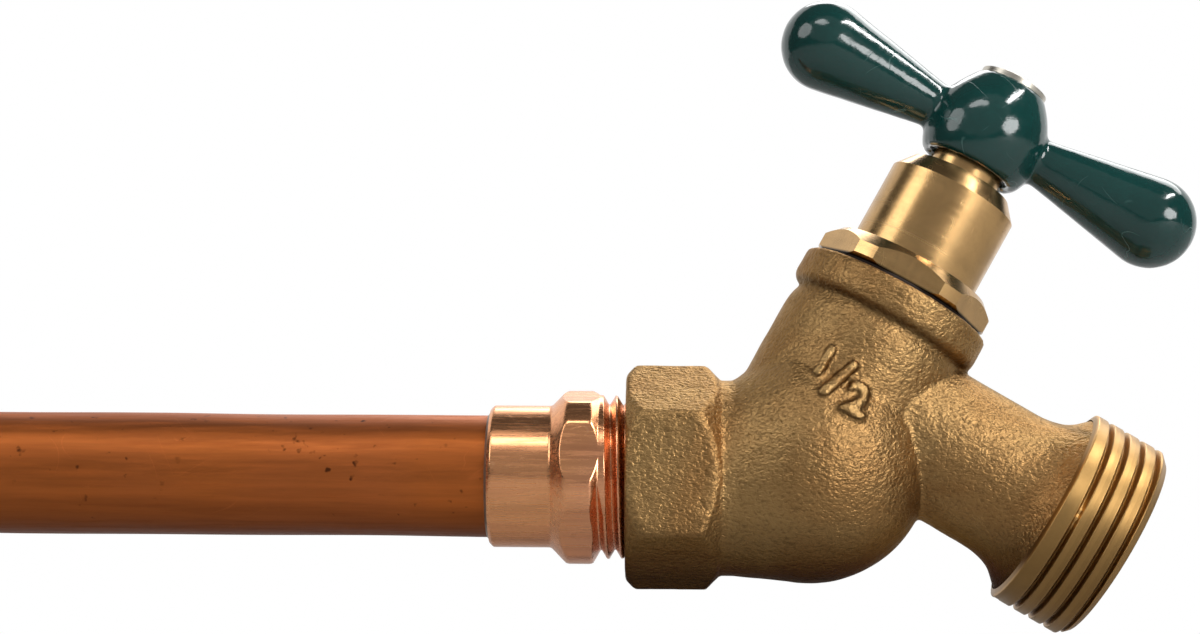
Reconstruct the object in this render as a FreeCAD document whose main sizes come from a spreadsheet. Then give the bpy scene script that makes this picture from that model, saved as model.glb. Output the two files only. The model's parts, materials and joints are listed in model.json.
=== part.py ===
import FreeCAD, Part
import math
import os
import re
import Sketcher
from FreeCAD import Placement, Rotation, Vector

# Hose bibb on a copper supply pipe, in millimetres. The row frame has its origin at the centre of
# the pipe's free end, +X along the pipe towards the valve, +Z up. The stem rises from the pipe's
# axis at stem_angle and the spout falls from the stem at spout_angle, both in the XZ plane.

os.makedirs("parts", exist_ok=True)
doc = FreeCAD.newDocument("hose_bibb")

# Driving dimensions: name, value, what it measures. Stations along the stem are counted from the
# point where the stem's axis crosses the pipe's axis; stations along the spout are counted from
# the point where the spout's axis leaves the stem's axis.
SIZES = [
    ("stem_angle", 60.9, "angle of the stem's axis above the pipe's axis, degrees"),
    ("spout_angle", 30.0, "angle of the spout's axis below the pipe's axis, degrees"),
    ("running_clearance", 0.05, "radial gap of a turning or sliding fit"),
    ("edge_break", 0.45, "broken edge of a turned piece"),
    ("cut_margin", 0.3, "a cut's reach past the surface it leaves"),
    ("cut_reach", 3.0, "a chamfer cut's reach past the corner it trims"),
    ("pipe_radius", 7.94, "outside of half-inch copper tube"),
    ("pipe_wall", 1.02, "wall of the copper tube"),
    ("pipe_stub", 67.5, "bare pipe from its free end to the adapter's mouth"),
    ("cup_depth", 12.7, "depth of the solder cup"),
    ("solder_gap", 0.1, "solder film between pipe and cup"),
    ("solder_bead", 0.35, "size of the solder fillet at the cup's mouth"),
    ("cup_wall", 1.2, "wall of the solder cup"),
    ("cup_round", 0.45, "rounding of the cup's mouth"),
    ("cup_length", 7.9, "straight outside of the cup"),
    ("adapter_cone", 2.1, "length of the cone from the cup to the hexagon"),
    ("adapter_hex_radius", 11.3, "turned corners of the adapter's hexagon"),
    ("adapter_hex_flats", 21.2, "across the flats of the adapter's hexagon"),
    ("adapter_hex_length", 3.1, "full-height part of the adapter's hexagon"),
    ("adapter_hex_turn", 15.0, "turn of the adapter's hexagon from upright, degrees"),
    ("adapter_hex_chamfer", 1.0, "length of the chamfer from the hexagon to the thread"),
    ("adapter_length", 27.4, "adapter from its mouth to the end of its thread"),
    ("adapter_bore", 6.7, "radius of the adapter's through bore"),
    ("taper_thread_radius", 10.5, "crest radius of the tapered thread at the valve's face"),
    ("taper_thread_pitch", 1.814, "pitch of the half-inch tapered pipe thread"),
    ("taper_thread_depth", 1.15, "depth of the tapered pipe thread"),
    ("taper_thread_gap", 1.55, "width of its groove at the crest"),
    ("taper_thread_root", 0.2, "width of its groove at the root"),
    ("taper_thread_leave", 60.0, "turn from below to where its groove leaves its end, degrees"),
    ("thread_clearance", 0.05, "gap all round between mated fastening threads"),
    ("taper_angle", 1.79, "half angle of the tapered pipe thread, degrees"),
    ("thread_engagement", 9.9, "tapered thread screwed into the valve"),
    ("inlet_flats", 26.6, "across the flats of the cast inlet hexagon"),
    ("inlet_corner_trim", 0.958, "depth trimmed from the inlet hexagon's top and bottom corners"),
    ("inlet_hex_length", 11.8, "length of the inlet hexagon"),
    ("inlet_chamfer", 1.3, "chamfer of the inlet hexagon's corners"),
    ("inlet_bore_depth", 11.2, "depth of the threaded inlet bore"),
    ("inlet_shank_radius", 12.6, "body between the inlet hexagon and the globe"),
    ("inlet_shank_end", 13.9, "where the shank starts to swell into the globe"),
    ("passage_radius", 5.2, "water passage from the inlet to the pocket under the seat"),
    ("passage_drop", 3.4, "depth of the passage's axis below the pipe's axis"),
    ("passage_reach", 1.5, "end of the passage past the stem's foot"),
    ("globe_radius", 15.8, "radius of the globe"),
    ("globe_reach", 23.5, "globe's centre from the inlet face"),
    ("globe_rise", 2.3, "globe's centre above the pipe's axis"),
    ("globe_blend", 2.6, "swelling stops this far before the globe's centre"),
    ("swell_inset", 0.1, "step from the swelling's end to the globe"),
    ("stem_foot", 21.8, "where the stem's axis crosses the pipe's axis, from the inlet face"),
    ("seat_station", 4.0, "seat face along the stem's axis"),
    ("seat_lip", 0.8, "height of the seat ring above the chamber's floor"),
    ("seat_land", 1.6, "width of the seat ring"),
    ("orifice_radius", 5.9, "water way through the seat"),
    ("pocket_depth", 11.5, "pocket below the seat face"),
    ("pocket_round", 2.0, "rounding of the pocket's floor"),
    ("chamber_gap", 0.7, "room for water round the washer holder in the upper chamber"),
    ("chamber_head", 1.5, "depth of the chamber's roof below the bonnet's foot"),
    ("neck_radius", 12.25, "outside of the neck"),
    ("collar_radius", 12.9, "outside of the collar at the neck's top"),
    ("collar_height", 4.7, "height of the collar"),
    ("collar_round", 1.0, "rounding of the collar's top"),
    ("collar_curve", 1.2, "height of the curve under the collar"),
    ("collar_curve_radius", 1.5, "radius of the curve under the collar"),
    ("neck_station", 27.3, "top face of the neck along the stem's axis"),
    ("spout_station", 13.2, "where the spout's axis leaves the stem's axis"),
    ("spout_radius", 9.65, "outside of the spout"),
    ("spout_bore", 7.1, "bore of the spout"),
    ("spout_throat", 6.5, "bore from the chamber into the spout"),
    ("spout_throat_end", 12.0, "end of the throat along the spout's axis"),
    ("spout_length", 39.8, "spout's end face along the spout's axis"),
    ("spout_fillet", 2.0, "fillet between the spout and the globe"),
    ("hose_thread_radius", 13.5, "crest radius of the three-quarter hose thread"),
    ("hose_thread_depth", 1.15, "depth of the hose thread"),
    ("hose_thread_pitch", 2.209, "pitch of the hose thread, 11.5 to the inch"),
    ("hose_thread_gap", 1.2, "width of its groove at the crest"),
    ("hose_thread_root", 0.25, "width of its groove at the root"),
    ("hose_thread_length", 9.6, "length of the hose thread"),
    ("hose_thread_shoulder", 1.55, "from the flare to the hose thread's first groove"),
    ("hose_flare", 2.9, "length of the flare behind the hose thread"),
    ("hose_flare_radius", 5.2, "radius of the flare's hollow curve"),
    ("hose_end_chamfer", 1.0, "chamfer at the start of the hose thread"),
    ("bonnet_thread_radius", 9.9, "crest radius of the bonnet's thread in the neck"),
    ("bonnet_thread_pitch", 1.5, "pitch of the bonnet's thread"),
    ("bonnet_thread_depth", 0.8, "depth of the bonnet's thread"),
    ("bonnet_thread_gap", 1.2, "width of its groove at the crest"),
    ("bonnet_thread_root", 0.25, "width of its groove at the root"),
    ("bonnet_thread_length", 9.4, "bonnet below its flange"),
    ("bonnet_undercut", 2.8, "thread undercut below the flange"),
    ("gasket_thickness", 0.5, "fibre gasket under the bonnet's flange"),
    ("gasket_radius", 11.2, "outside of the fibre gasket"),
    ("flange_height", 3.7, "height of the bonnet's hexagon"),
    ("flange_radius", 12.05, "turned corners of the bonnet's hexagon"),
    ("flange_flats", 22.2, "across the flats of the bonnet's hexagon"),
    ("flange_turn", 27.0, "turn of the bonnet's hexagon from the handle's arms, degrees"),
    ("flange_chamfer", 1.6, "chamfer on top of the bonnet's hexagon"),
    ("tower_radius", 8.7, "outside of the bonnet's tower"),
    ("tower_height", 13.2, "tower above the flange"),
    ("tower_chamfer", 2.3, "height of the tower's top cone"),
    ("tower_chamfer_width", 1.8, "width of the tower's top cone"),
    ("tower_roof", 1.6, "wall above the seal bore"),
    ("seal_bore", 5.25, "bore of the bonnet where the seals slide"),
    ("seal_groove_depth", 1.25, "depth of the seal grooves in the stem"),
    ("seal_groove_width", 1.8, "width of a seal groove"),
    ("seal_spacing", 2.9, "from one seal groove to the next"),
    ("land_length", 7.0, "length of the stem's land that carries the seals"),
    ("seal_margin", 1.1, "land left below the lower seal groove"),
    ("seal_fit", 0.02, "gap left round a seal ring, which is drawn at rest"),
    ("lift", 6.2, "rise of the stem from closed to open"),
    ("stop_gap", 0.1, "gap left under the roof at full lift"),
    ("lead_radius", 6.3, "crest radius of the stem's lead thread"),
    ("lead_pitch", 2.5, "rise of the stem in one turn"),
    ("lead_depth", 1.1, "depth of the lead thread"),
    ("lead_gap", 1.5, "width of its groove at the crest"),
    ("lead_root", 0.9, "width of its groove at the root"),
    ("lead_clearance", 0.12, "gap all round between the two lead threads"),
    ("lead_engagement", 5.6, "lead thread held in the bonnet when closed"),
    ("lead_relief", 3.3, "plain relief above the bonnet's lead thread"),
    ("stem_waist", 4.95, "stem between its lead thread and its land"),
    ("stem_neck", 4.76, "stem between the bonnet and the handle"),
    ("stem_square", 6.7, "across the square that drives the handle"),
    ("screw_draw", 0.8, "gap over the stem's end, so that the screw clamps the handle"),
    ("drill_point", 1.0, "depth of the stem's hole past its screw"),
    ("stem_foot_gap", 0.2, "gap between the stem's foot and the washer holder"),
    ("holder_wall", 0.65, "wall of the holder's rim round the seat washer"),
    ("holder_rim", 2.2, "depth of the holder's rim round the seat washer"),
    ("holder_plate", 1.6, "plate of the washer holder"),
    ("holder_neck", 3.4, "neck of the holder inside the stem's foot"),
    ("holder_neck_length", 2.2, "length of the holder's neck"),
    ("holder_head", 4.4, "head of the holder trapped in the stem"),
    ("holder_head_height", 1.8, "height of the holder's head"),
    ("seat_washer_radius", 7.5, "outside of the seat washer"),
    ("seat_washer_thickness", 3.2, "thickness of the seat washer"),
    ("small_screw_radius", 2.08, "thread radius of both screws"),
    ("washer_screw_head", 3.7, "head radius of the seat washer's screw"),
    ("washer_screw_head_height", 1.7, "head height of the seat washer's screw"),
    ("washer_screw_length", 7.4, "shank of the seat washer's screw"),
    ("slot_width", 1.1, "width of the screwdriver slots"),
    ("slot_depth", 0.9, "depth of the screwdriver slots"),
    ("hub_station", 46.5, "underside of the handle's hub along the stem's axis"),
    ("hub_foot_radius", 6.75, "lip at the hub's underside"),
    ("hub_radius", 8.0, "widest part of the hub"),
    ("hub_height", 12.5, "hub from its underside to its top face"),
    ("hub_wide_height", 7.2, "widest part of the hub above its underside"),
    ("hub_lower_curve", 14.0, "radius of curvature of the hub's lower side"),
    ("hub_upper_curve", 8.9, "radius of curvature of the hub's upper side"),
    ("hub_top_radius", 4.9, "flat top of the hub"),
    ("hub_recess_radius", 5.5, "recess in the hub's underside"),
    ("hub_recess_depth", 1.2, "depth of the recess in the hub's underside"),
    ("arm_station", 51.9, "handle's arm axis along the stem's axis"),
    ("arm_root_reach", 6.0, "where the arm's taper starts, from the stem's axis"),
    ("arm_root_radius", 2.7, "radius of the arm where its taper starts"),
    ("arm_reach", 24.0, "centre of the arm's round end, from the stem's axis"),
    ("arm_end_radius", 6.0, "radius of the arm's round end"),
    ("coat_thickness", 0.8, "plastic dip over the cast handle"),
    ("handle_screw_head", 4.6, "head radius of the handle screw"),
    ("handle_screw_head_height", 1.7, "head height of the handle screw"),
    ("handle_screw_edge", 0.8, "straight side of the handle screw's head"),
    ("handle_screw_fit", 0.15, "gap round the handle screw's head"),
    ("handle_screw_length", 9.0, "shank of the handle screw"),
    ("lock_washer_thickness", 0.5, "spring washer under the handle screw's head"),
    ("lock_washer_radius", 3.9, "outside of the spring washer"),
    ("lock_washer_gap", 0.8, "cut in the spring washer"),
    ("lock_washer_fit", 0.2, "gap between the spring washer and its screw"),
]

sheet = doc.addObject("Spreadsheet::Sheet", "Sizes")
for row, (alias, value, meaning) in enumerate(SIZES, start=1):
    sheet.set(f"A{row}", alias)
    sheet.set(f"B{row}", str(value))
    sheet.set(f"C{row}", meaning)
    sheet.setAlias(f"B{row}", alias)
doc.recompute()
ALIASES = {alias for alias, value, meaning in SIZES}

# Stations and radii that follow from the driving dimensions, written once as formulas.
DERIVED = {
    "face_place": "(pipe_stub + adapter_length - thread_engagement)",
    "stem_place": "(pipe_stub + adapter_length - thread_engagement + stem_foot)",
    "inlet_height": "(inlet_flats / cos(30) - 2 * inlet_corner_trim)",
    "cup_bore": "(pipe_radius + solder_gap)",
    "cup_outside": "(pipe_radius + solder_gap + cup_wall)",
    "hex_start": "(cup_length + adapter_cone)",
    "globe_waist": "sqrt(globe_radius * globe_radius - globe_blend * globe_blend)",
    "hex_end": "(cup_length + adapter_cone + adapter_hex_length)",
    "thread_start": "(cup_length + adapter_cone + adapter_hex_length + adapter_hex_chamfer)",
    "taper_end_radius": "(taper_thread_radius - thread_engagement * tan(taper_angle))",
    "flange_station": "(neck_station + gasket_thickness)",
    "flange_top": "(neck_station + gasket_thickness + flange_height)",
    "tower_top": "(neck_station + gasket_thickness + flange_height + tower_height)",
    "bonnet_foot": "(neck_station + gasket_thickness - bonnet_thread_length)",
    "roof_station": "(neck_station + gasket_thickness + flange_height + tower_height - tower_roof)",
    "land_top": "(roof_station - stop_gap - lift)",
    "land_bottom": "(roof_station - stop_gap - lift - land_length)",
    "land_radius": "(seal_bore - running_clearance)",
    "holder_radius": "(seat_washer_radius + running_clearance + holder_wall)",
    "chamber_radius": "(holder_radius + chamber_gap)",
    "holder_base": "(seat_station + seat_washer_thickness)",
    "holder_top": "(seat_station + seat_washer_thickness + holder_plate)",
    "stem_base": "(seat_station + seat_washer_thickness + holder_plate + stem_foot_gap)",
    "head_base": "(holder_top + holder_neck_length)",
    "head_top": "(holder_top + holder_neck_length + holder_head_height)",
    "lead_top": "(bonnet_foot + lead_engagement)",
    "hub_top": "(hub_station + hub_height)",
    "square_base": "(hub_station + hub_recess_depth)",
    "core_top": "(hub_station + hub_height - coat_thickness)",
    "screw_seat": "(hub_station + hub_height - coat_thickness + lock_washer_thickness)",
    "dome_rise": "(handle_screw_head_height - handle_screw_edge)",
    "dome_curve": "((handle_screw_head ^ 2 + dome_rise ^ 2) / 2 / dome_rise)",
    "stem_top": "(hub_station + hub_height - coat_thickness - screw_draw)",
    "face_station": "(adapter_length - thread_engagement)",
    "groove_start": "(thread_start + taper_thread_pitch * 0.5)",
    "inlet_groove_start": "(thread_engagement + taper_thread_pitch * (1 / 2 - taper_thread_leave / 360"
                          " - floor(thread_engagement / taper_thread_pitch + 2)))",
    "taper_bore": "(taper_thread_radius - taper_thread_depth + thread_clearance)",
    "hose_thread_base": "(spout_length - hose_thread_length)",
    "hose_groove_start": "(spout_length - hose_thread_length + hose_thread_shoulder)",
    "bonnet_bore": "(bonnet_thread_radius - bonnet_thread_depth + thread_clearance)",
    "bonnet_groove_start": "(bonnet_foot - bonnet_thread_pitch)",
    "lead_bore": "(lead_radius - lead_depth + lead_clearance)",
    "lead_room": "(lead_top + lift + lead_clearance)",
    "lead_groove_start": "(stem_base + lead_pitch)",
    "lead_ridge_start": "(stem_base + lead_pitch * 5 / 2)",
    "first_seal": "(land_bottom + seal_groove_width / 2 + seal_margin)",
}


def formula(text):
    """Write a formula in plain size names as one that reads the sheet."""
    def replace(match):
        word = match.group()
        if word in DERIVED:
            return formula(DERIVED[word])
        return "Sizes." + word if word in ALIASES else word
    return re.sub(r"[a-z][a-z_]+", replace, str(text))


def number(text):
    """Value of a formula now."""
    return float(sheet.evalExpression(formula(text)))


def plane(body, role):
    return next(item for item in body.Origin.OriginFeatures if item.Role == role)


def new_body(label, along=None, turn=None):
    """Body whose own frame sits at a station on the pipe's axis, turned about the row's Y axis."""
    body = doc.addObject("PartDesign::Body", label)
    body.Label = label
    body.Placement = Placement(Vector(0, 0, 0), Rotation(Vector(0, 1, 0), 1.0))
    body.setExpression("Placement.Base.x", formula(along or "0"))
    body.setExpression("Placement.Rotation.Angle", formula(turn or "0"))
    return body


PIPE_TURN = "90"
STEM_TURN = "90 - stem_angle"


def new_sketch(body, name, role="XZ_Plane", shift=("0", "0", "0"), turn="0",
               about=Vector(0, 0, 1)):
    """Empty sketch on one of the body's own planes, shifted, and turned about one of the plane's
    axes: its normal, or its vertical axis."""
    sketch = body.newObject("Sketcher::SketchObject", name)
    sketch.AttachmentSupport = (plane(body, role), "")
    sketch.MapMode = "FlatFace"
    sketch.AttachmentOffset = Placement(Vector(0, 0, 0), Rotation(about, 1.0))
    for axis, text in zip("xyz", shift):
        sketch.setExpression(f"AttachmentOffset.Base.{axis}", formula(text))
    sketch.setExpression("AttachmentOffset.Rotation.Angle", formula(turn))
    return sketch


def arc_middle(first, last, radius):
    """Middle of the shorter arc from first to last; a positive radius bulges to the right."""
    chord = last - first
    side = Vector(chord.y, -chord.x, 0).normalize()
    depth = math.sqrt(max(radius ** 2 - (chord.Length / 2) ** 2, 0.0))
    sagitta = math.copysign(abs(radius) - depth, radius)
    return (first + last) / 2 + side * sagitta


def outline(sketch, vertices):
    """Closed outline through vertices (x, y) or (x, y, radius), all formulas. With a radius, the
    edge that leaves the vertex is an arc, bulging to the right of its direction if positive."""
    base = sketch.GeometryCount
    points = [Vector(number(vertex[0]), number(vertex[1]), 0) for vertex in vertices]
    count = len(points)
    starts = []
    ends = []
    for index, vertex in enumerate(vertices):
        first, last = points[index], points[(index + 1) % count]
        if len(vertex) == 3:
            middle = arc_middle(first, last, number(vertex[2]))
            anticlockwise = number(vertex[2]) > 0
            ordered = (first, middle, last) if anticlockwise else (last, middle, first)
            sketch.addGeometry(Part.Arc(*ordered), False)
            starts.append(1 if anticlockwise else 2)
        else:
            sketch.addGeometry(Part.LineSegment(first, last), False)
            starts.append(1)
        ends.append(3 - starts[-1])
    for index in range(count):
        after = (index + 1) % count
        sketch.addConstraint(Sketcher.Constraint(
            "Coincident", base + index, ends[index], base + after, starts[after]))
    for index, vertex in enumerate(vertices):
        for kind, text, axis in (("DistanceX", vertex[0], -2), ("DistanceY", vertex[1], -1)):
            value = number(text)
            if str(text) == "0":
                constraint = Sketcher.Constraint("PointOnObject", base + index, starts[index], axis)
                sketch.addConstraint(constraint)
                continue
            place = sketch.addConstraint(
                Sketcher.Constraint(kind, base + index, starts[index], value))
            sketch.setExpression(f"Constraints[{place}]", formula(text))
        if len(vertex) == 3:
            place = sketch.addConstraint(
                Sketcher.Constraint("Radius", base + index, abs(number(vertex[2]))))
            sketch.setExpression(f"Constraints[{place}]", formula(f"abs({vertex[2]})"))
    return sketch


def circle(sketch, radius, x="0", y="0"):
    """Circle with its centre and radius bound to formulas."""
    index = sketch.GeometryCount
    centre = Vector(number(x), number(y), 0)
    sketch.addGeometry(Part.Circle(centre, Vector(0, 0, 1), number(radius)), False)
    for kind, text in (("DistanceX", x), ("DistanceY", y)):
        if str(text) == "0":
            axis = -2 if kind == "DistanceX" else -1
            sketch.addConstraint(Sketcher.Constraint("PointOnObject", index, 3, axis))
        else:
            place = sketch.addConstraint(Sketcher.Constraint(kind, index, 3, number(text)))
            sketch.setExpression(f"Constraints[{place}]", formula(text))
    place = sketch.addConstraint(Sketcher.Constraint("Radius", index, number(radius)))
    sketch.setExpression(f"Constraints[{place}]", formula(radius))
    return sketch


def polygon_vertices(flats, turn, sides=6):
    """Corners of a regular polygon given across its flats, with a flat at the angle turn."""
    step = 360.0 / sides
    reach = f"({flats}) / 2 / cos({step / 2})"
    return [(f"{reach} * cos(({turn}) + {step * (index + 0.5)})",
             f"{reach} * sin(({turn}) + {step * (index + 0.5)})") for index in range(sides)]


LEAST_CHANGE = 0.01  # cubic millimetres


def check_volume(feature, before, grows):
    """Every feature has to add or remove material as it says."""
    doc.recompute()
    after = feature.Shape.Volume
    if (after > before) != grows or abs(after - before) < LEAST_CHANGE:
        raise RuntimeError(f"{feature.Label} changes nothing: {before} to {after}")
    return feature


def volume(body):
    return body.Shape.Volume if body.Tip and body.Shape and not body.Shape.isNull() else 0.0


def turned(body, name, vertices, cut=False, axis="V_Axis", **sketch_place):
    """Revolve an outline about its sketch's axis, as new material or as a cut."""
    before = volume(body)
    sketch = outline(new_sketch(body, name + "_outline", **sketch_place), vertices)
    kind = "PartDesign::Groove" if cut else "PartDesign::Revolution"
    feature = body.newObject(kind, name)
    feature.Profile = sketch
    feature.ReferenceAxis = (sketch, [axis])
    feature.Angle = 360
    return check_volume(feature, before, not cut)


def padded(body, name, sketch, length, cut=False, reverse=False):
    """Pad a sketch along its normal, or pocket along the normal."""
    before = volume(body)
    feature = body.newObject("PartDesign::Pocket" if cut else "PartDesign::Pad", name)
    feature.Profile = sketch
    feature.Type = 0
    feature.Length = number(length)
    feature.setExpression("Length", formula(length))
    feature.Reversed = cut != reverse
    return check_volume(feature, before, not cut)


def milled_flats(body, name, flats, turn, base, length, outer):
    """Mill a turned flange to a polygon: everything outside the flats is cut away."""
    sketch = new_sketch(body, name + "_outline", "XY_Plane", ("0", "0", base))
    circle(sketch, outer)
    outline(sketch, polygon_vertices(flats, turn))
    return padded(body, name, sketch, length, cut=True)


def threaded(body, name, vertices, pitch, length, taper="0", flip=False, **sketch_place):
    """Cut a right-hand helical groove whose section is the outline, along its sketch's V axis."""
    before = volume(body)
    sketch = outline(new_sketch(body, name + "_section", **sketch_place), vertices)
    feature = body.newObject("PartDesign::SubtractiveHelix", name)
    feature.Profile = sketch
    feature.ReferenceAxis = (sketch, ["V_Axis"])
    feature.Mode = 0
    feature.Pitch = number(pitch)
    feature.Height = number(length)
    feature.setExpression("Pitch", formula(pitch))
    feature.setExpression("Height", formula(length))
    feature.setExpression("Angle", formula(taper))
    feature.Reversed = flip
    return check_volume(feature, before, False)


def joins(shape, edge, globe, pipe):
    """Whether an edge lies between the sphere and the cylinder of these radii."""
    radii = {(face.Surface.TypeId, round(face.Surface.Radius, 3))
             for face in shape.ancestorsOfType(edge, Part.Face)
             if face.Surface.TypeId in ("Part::GeomSphere", "Part::GeomCylinder")}
    return radii == {("Part::GeomSphere", round(number(globe), 3)),
                     ("Part::GeomCylinder", round(number(pipe), 3))}


def groove_section(crest, depth, gap, root, station):
    """Groove cut from outside between two crests: gap wide at the crest, root wide at its floor."""
    slope = f"(({gap}) - ({root})) / 2 / ({depth})"
    out = f"({gap}) / 2 + {slope} * cut_margin"
    return [(f"({crest}) - ({depth})", f"({station}) - ({root}) / 2"),
            (f"({crest}) + cut_margin", f"({station}) - ({out})"),
            (f"({crest}) + cut_margin", f"({station}) + ({out})"),
            (f"({crest}) - ({depth})", f"({station}) + ({root}) / 2")]


def ridge_section(crest, depth, gap, root, pitch, station, clearance):
    """Groove cut from inside that takes the ridge between two such grooves. Its flanks are parallel
    to the ridge's flanks, with the clearance between them."""
    slope = f"(({gap}) - ({root})) / 2 / ({depth})"
    top = f"(({pitch}) - ({gap})) / 2 + ({clearance}) * (1 - {slope})"
    foot = f"(({pitch}) - ({root})) / 2 + ({clearance})"
    return [(f"({crest}) - ({depth})", f"({station}) - ({foot})"),
            (f"({crest}) + ({clearance})", f"({station}) - ({top})"),
            (f"({crest}) + ({clearance})", f"({station}) + ({top})"),
            (f"({crest}) - ({depth})", f"({station}) + ({foot})")]


# Supply pipe: a plain copper tube pushed to the bottom of the adapter's cup.
supply_pipe = new_body("supply_pipe", None, PIPE_TURN)
ring = new_sketch(supply_pipe, "tube_section", "XY_Plane")
circle(ring, "pipe_radius")
circle(ring, "pipe_radius - pipe_wall")
padded(supply_pipe, "tube", ring, "pipe_stub + cup_depth")

# Solder joint: the film between pipe and cup, with its small fillet at the mouth.
solder_joint = new_body("solder_joint", "pipe_stub", PIPE_TURN)
turned(solder_joint, "film", [
    ("pipe_radius", "0 - solder_bead"),
    ("cup_bore + solder_bead", "0"),
    ("cup_bore", "0"),
    ("cup_bore", "cup_depth"),
    ("pipe_radius", "cup_depth"),
])

# Copper male adapter: solder cup, turned and milled hexagon, tapered thread.
TAPER = ("taper_thread_depth", "taper_thread_gap", "taper_thread_root")
copper_adapter = new_body("copper_adapter", "pipe_stub", PIPE_TURN)
turned(copper_adapter, "turned_outside", [
    ("0", "0"),
    ("cup_outside - cup_round", "0", "cup_round"),
    ("cup_outside", "cup_round"),
    ("cup_outside", "cup_length"),
    ("adapter_hex_radius", "hex_start"),
    ("adapter_hex_radius", "hex_end"),
    ("taper_thread_radius + (face_station - thread_start) * tan(taper_angle)", "thread_start"),
    ("taper_end_radius", "adapter_length"),
    ("0", "adapter_length"),
])
milled_flats(copper_adapter, "milled_hexagon", "adapter_hex_flats", "adapter_hex_turn",
             "cup_length", "thread_start - cup_length", "adapter_hex_radius + cut_reach")
turned(copper_adapter, "bore", [
    ("0", "0"),
    ("cup_bore", "0"),
    ("cup_bore", "cup_depth"),
    ("adapter_bore", "cup_depth"),
    ("adapter_bore", "adapter_length"),
    ("0", "adapter_length"),
], cut=True)
threaded(copper_adapter, "tapered_thread",
         groove_section("taper_thread_radius + (face_station - groove_start) * tan(taper_angle)",
                        *TAPER, "groove_start"),
         "taper_thread_pitch", "adapter_length - groove_start + taper_thread_pitch / 2",
         taper="0 - taper_angle", about=Vector(0, 1, 0),
         turn="taper_thread_leave - 360 * (adapter_length - groove_start) / taper_thread_pitch")

# Valve body: one brass casting. Places in its own sketches for the three axes.
PIPE_LINE = {"turn": "-90"}
STEM_LINE = {"shift": ("stem_foot", "0", "0"), "turn": "stem_angle - 90"}
SPOUT_LINE = {
    "shift": ("stem_foot + spout_station * cos(stem_angle)",
              "spout_station * sin(stem_angle)", "0"),
    "turn": "0 - spout_angle - 90",
}
valve_body = new_body("valve_body", "face_place", "0")
half_flats = "inlet_flats / 2"
half_side = "inlet_flats / 2 * tan(30)"
half_height = "inlet_height / 2"
half_trim = "inlet_corner_trim * tan(60)"
hexagon = outline(new_sketch(valve_body, "inlet_hexagon_outline", "YZ_Plane"), [
    (half_flats, f"0 - {half_side}"),
    (half_flats, half_side),
    (half_trim, half_height),
    (f"0 - {half_trim}", half_height),
    (f"0 - {half_flats}", half_side),
    (f"0 - {half_flats}", f"0 - {half_side}"),
    (f"0 - {half_trim}", f"0 - {half_height}"),
    (half_trim, f"0 - {half_height}"),
])
padded(valve_body, "inlet_hexagon", hexagon, "inlet_hex_length")
turned(valve_body, "inlet_front_chamfer", [
    ("inlet_height / 2 - inlet_chamfer", "0"),
    ("inlet_height / 2 + cut_reach", "0"),
    ("inlet_height / 2 + cut_reach", "inlet_chamfer + cut_reach"),
], cut=True, **PIPE_LINE)
turned(valve_body, "inlet_back_chamfer", [
    ("inlet_height / 2 - inlet_chamfer", "inlet_hex_length"),
    ("inlet_height / 2 + cut_reach", "inlet_hex_length - inlet_chamfer - cut_reach"),
    ("inlet_height / 2 + cut_reach", "inlet_hex_length"),
], cut=True, **PIPE_LINE)
turned(valve_body, "inlet_shank", [
    ("0", "inlet_hex_length - inlet_chamfer"),
    ("inlet_shank_radius", "inlet_hex_length - inlet_chamfer"),
    ("inlet_shank_radius", "inlet_shank_end"),
    ("0", "inlet_shank_end"),
], **PIPE_LINE)
swell_start = circle(new_sketch(valve_body, "swell_start", "YZ_Plane",
                                ("0", "0", "inlet_shank_end")), "inlet_shank_radius")
swell_end = circle(new_sketch(valve_body, "swell_end", "YZ_Plane",
                              ("0", "0", "globe_reach - globe_blend")),
                   "globe_waist - swell_inset", "0", "globe_rise")
before = volume(valve_body)
swell = valve_body.newObject("PartDesign::AdditiveLoft", "swell")
swell.Profile = swell_start
swell.Sections = [swell_end]
swell.Ruled = True
check_volume(swell, before, True)
turned(valve_body, "globe", [
    ("0", "0 - globe_blend"),
    ("globe_waist", "0 - globe_blend", "globe_radius"),
    ("0", "globe_radius"),
], shift=("globe_reach", "globe_rise", "0"), turn="-90")
turned(valve_body, "neck", [
    ("0", "0"),
    ("neck_radius", "0"),
    ("neck_radius", "neck_station - collar_height", "collar_curve_radius"),
    ("collar_radius", "neck_station - collar_height + collar_curve"),
    ("collar_radius", "neck_station - collar_round", "collar_round"),
    ("collar_radius - collar_round", "neck_station"),
    ("0", "neck_station"),
], **STEM_LINE)
turned(valve_body, "spout", [
    ("0", "0"),
    ("spout_radius", "0"),
    ("spout_radius", "hose_thread_base - hose_flare", "0 - hose_flare_radius"),
    ("hose_thread_radius - hose_thread_depth", "hose_thread_base"),
    ("hose_thread_radius - hose_thread_depth / 2", "hose_thread_base"),
    ("hose_thread_radius", "hose_thread_base + hose_thread_depth / 2"),
    ("hose_thread_radius", "spout_length - hose_end_chamfer"),
    ("hose_thread_radius - hose_end_chamfer", "spout_length"),
    ("0", "spout_length"),
], **SPOUT_LINE)
before = volume(valve_body)
unblended = valve_body.Tip
joint = [f"Edge{index}" for index, edge in enumerate(unblended.Shape.Edges, start=1)
         if joins(unblended.Shape, edge, "globe_radius", "spout_radius")]
spout_blend = valve_body.newObject("PartDesign::Fillet", "spout_blend")
spout_blend.Base = (unblended, joint)
spout_blend.setExpression("Radius", formula("spout_fillet"))
check_volume(spout_blend, before, True)
threaded(valve_body, "hose_thread",
         groove_section("hose_thread_radius", "hose_thread_depth", "hose_thread_gap",
                        "hose_thread_root", "hose_groove_start"),
         "hose_thread_pitch", "spout_length - hose_groove_start + hose_thread_pitch", **SPOUT_LINE)
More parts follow.
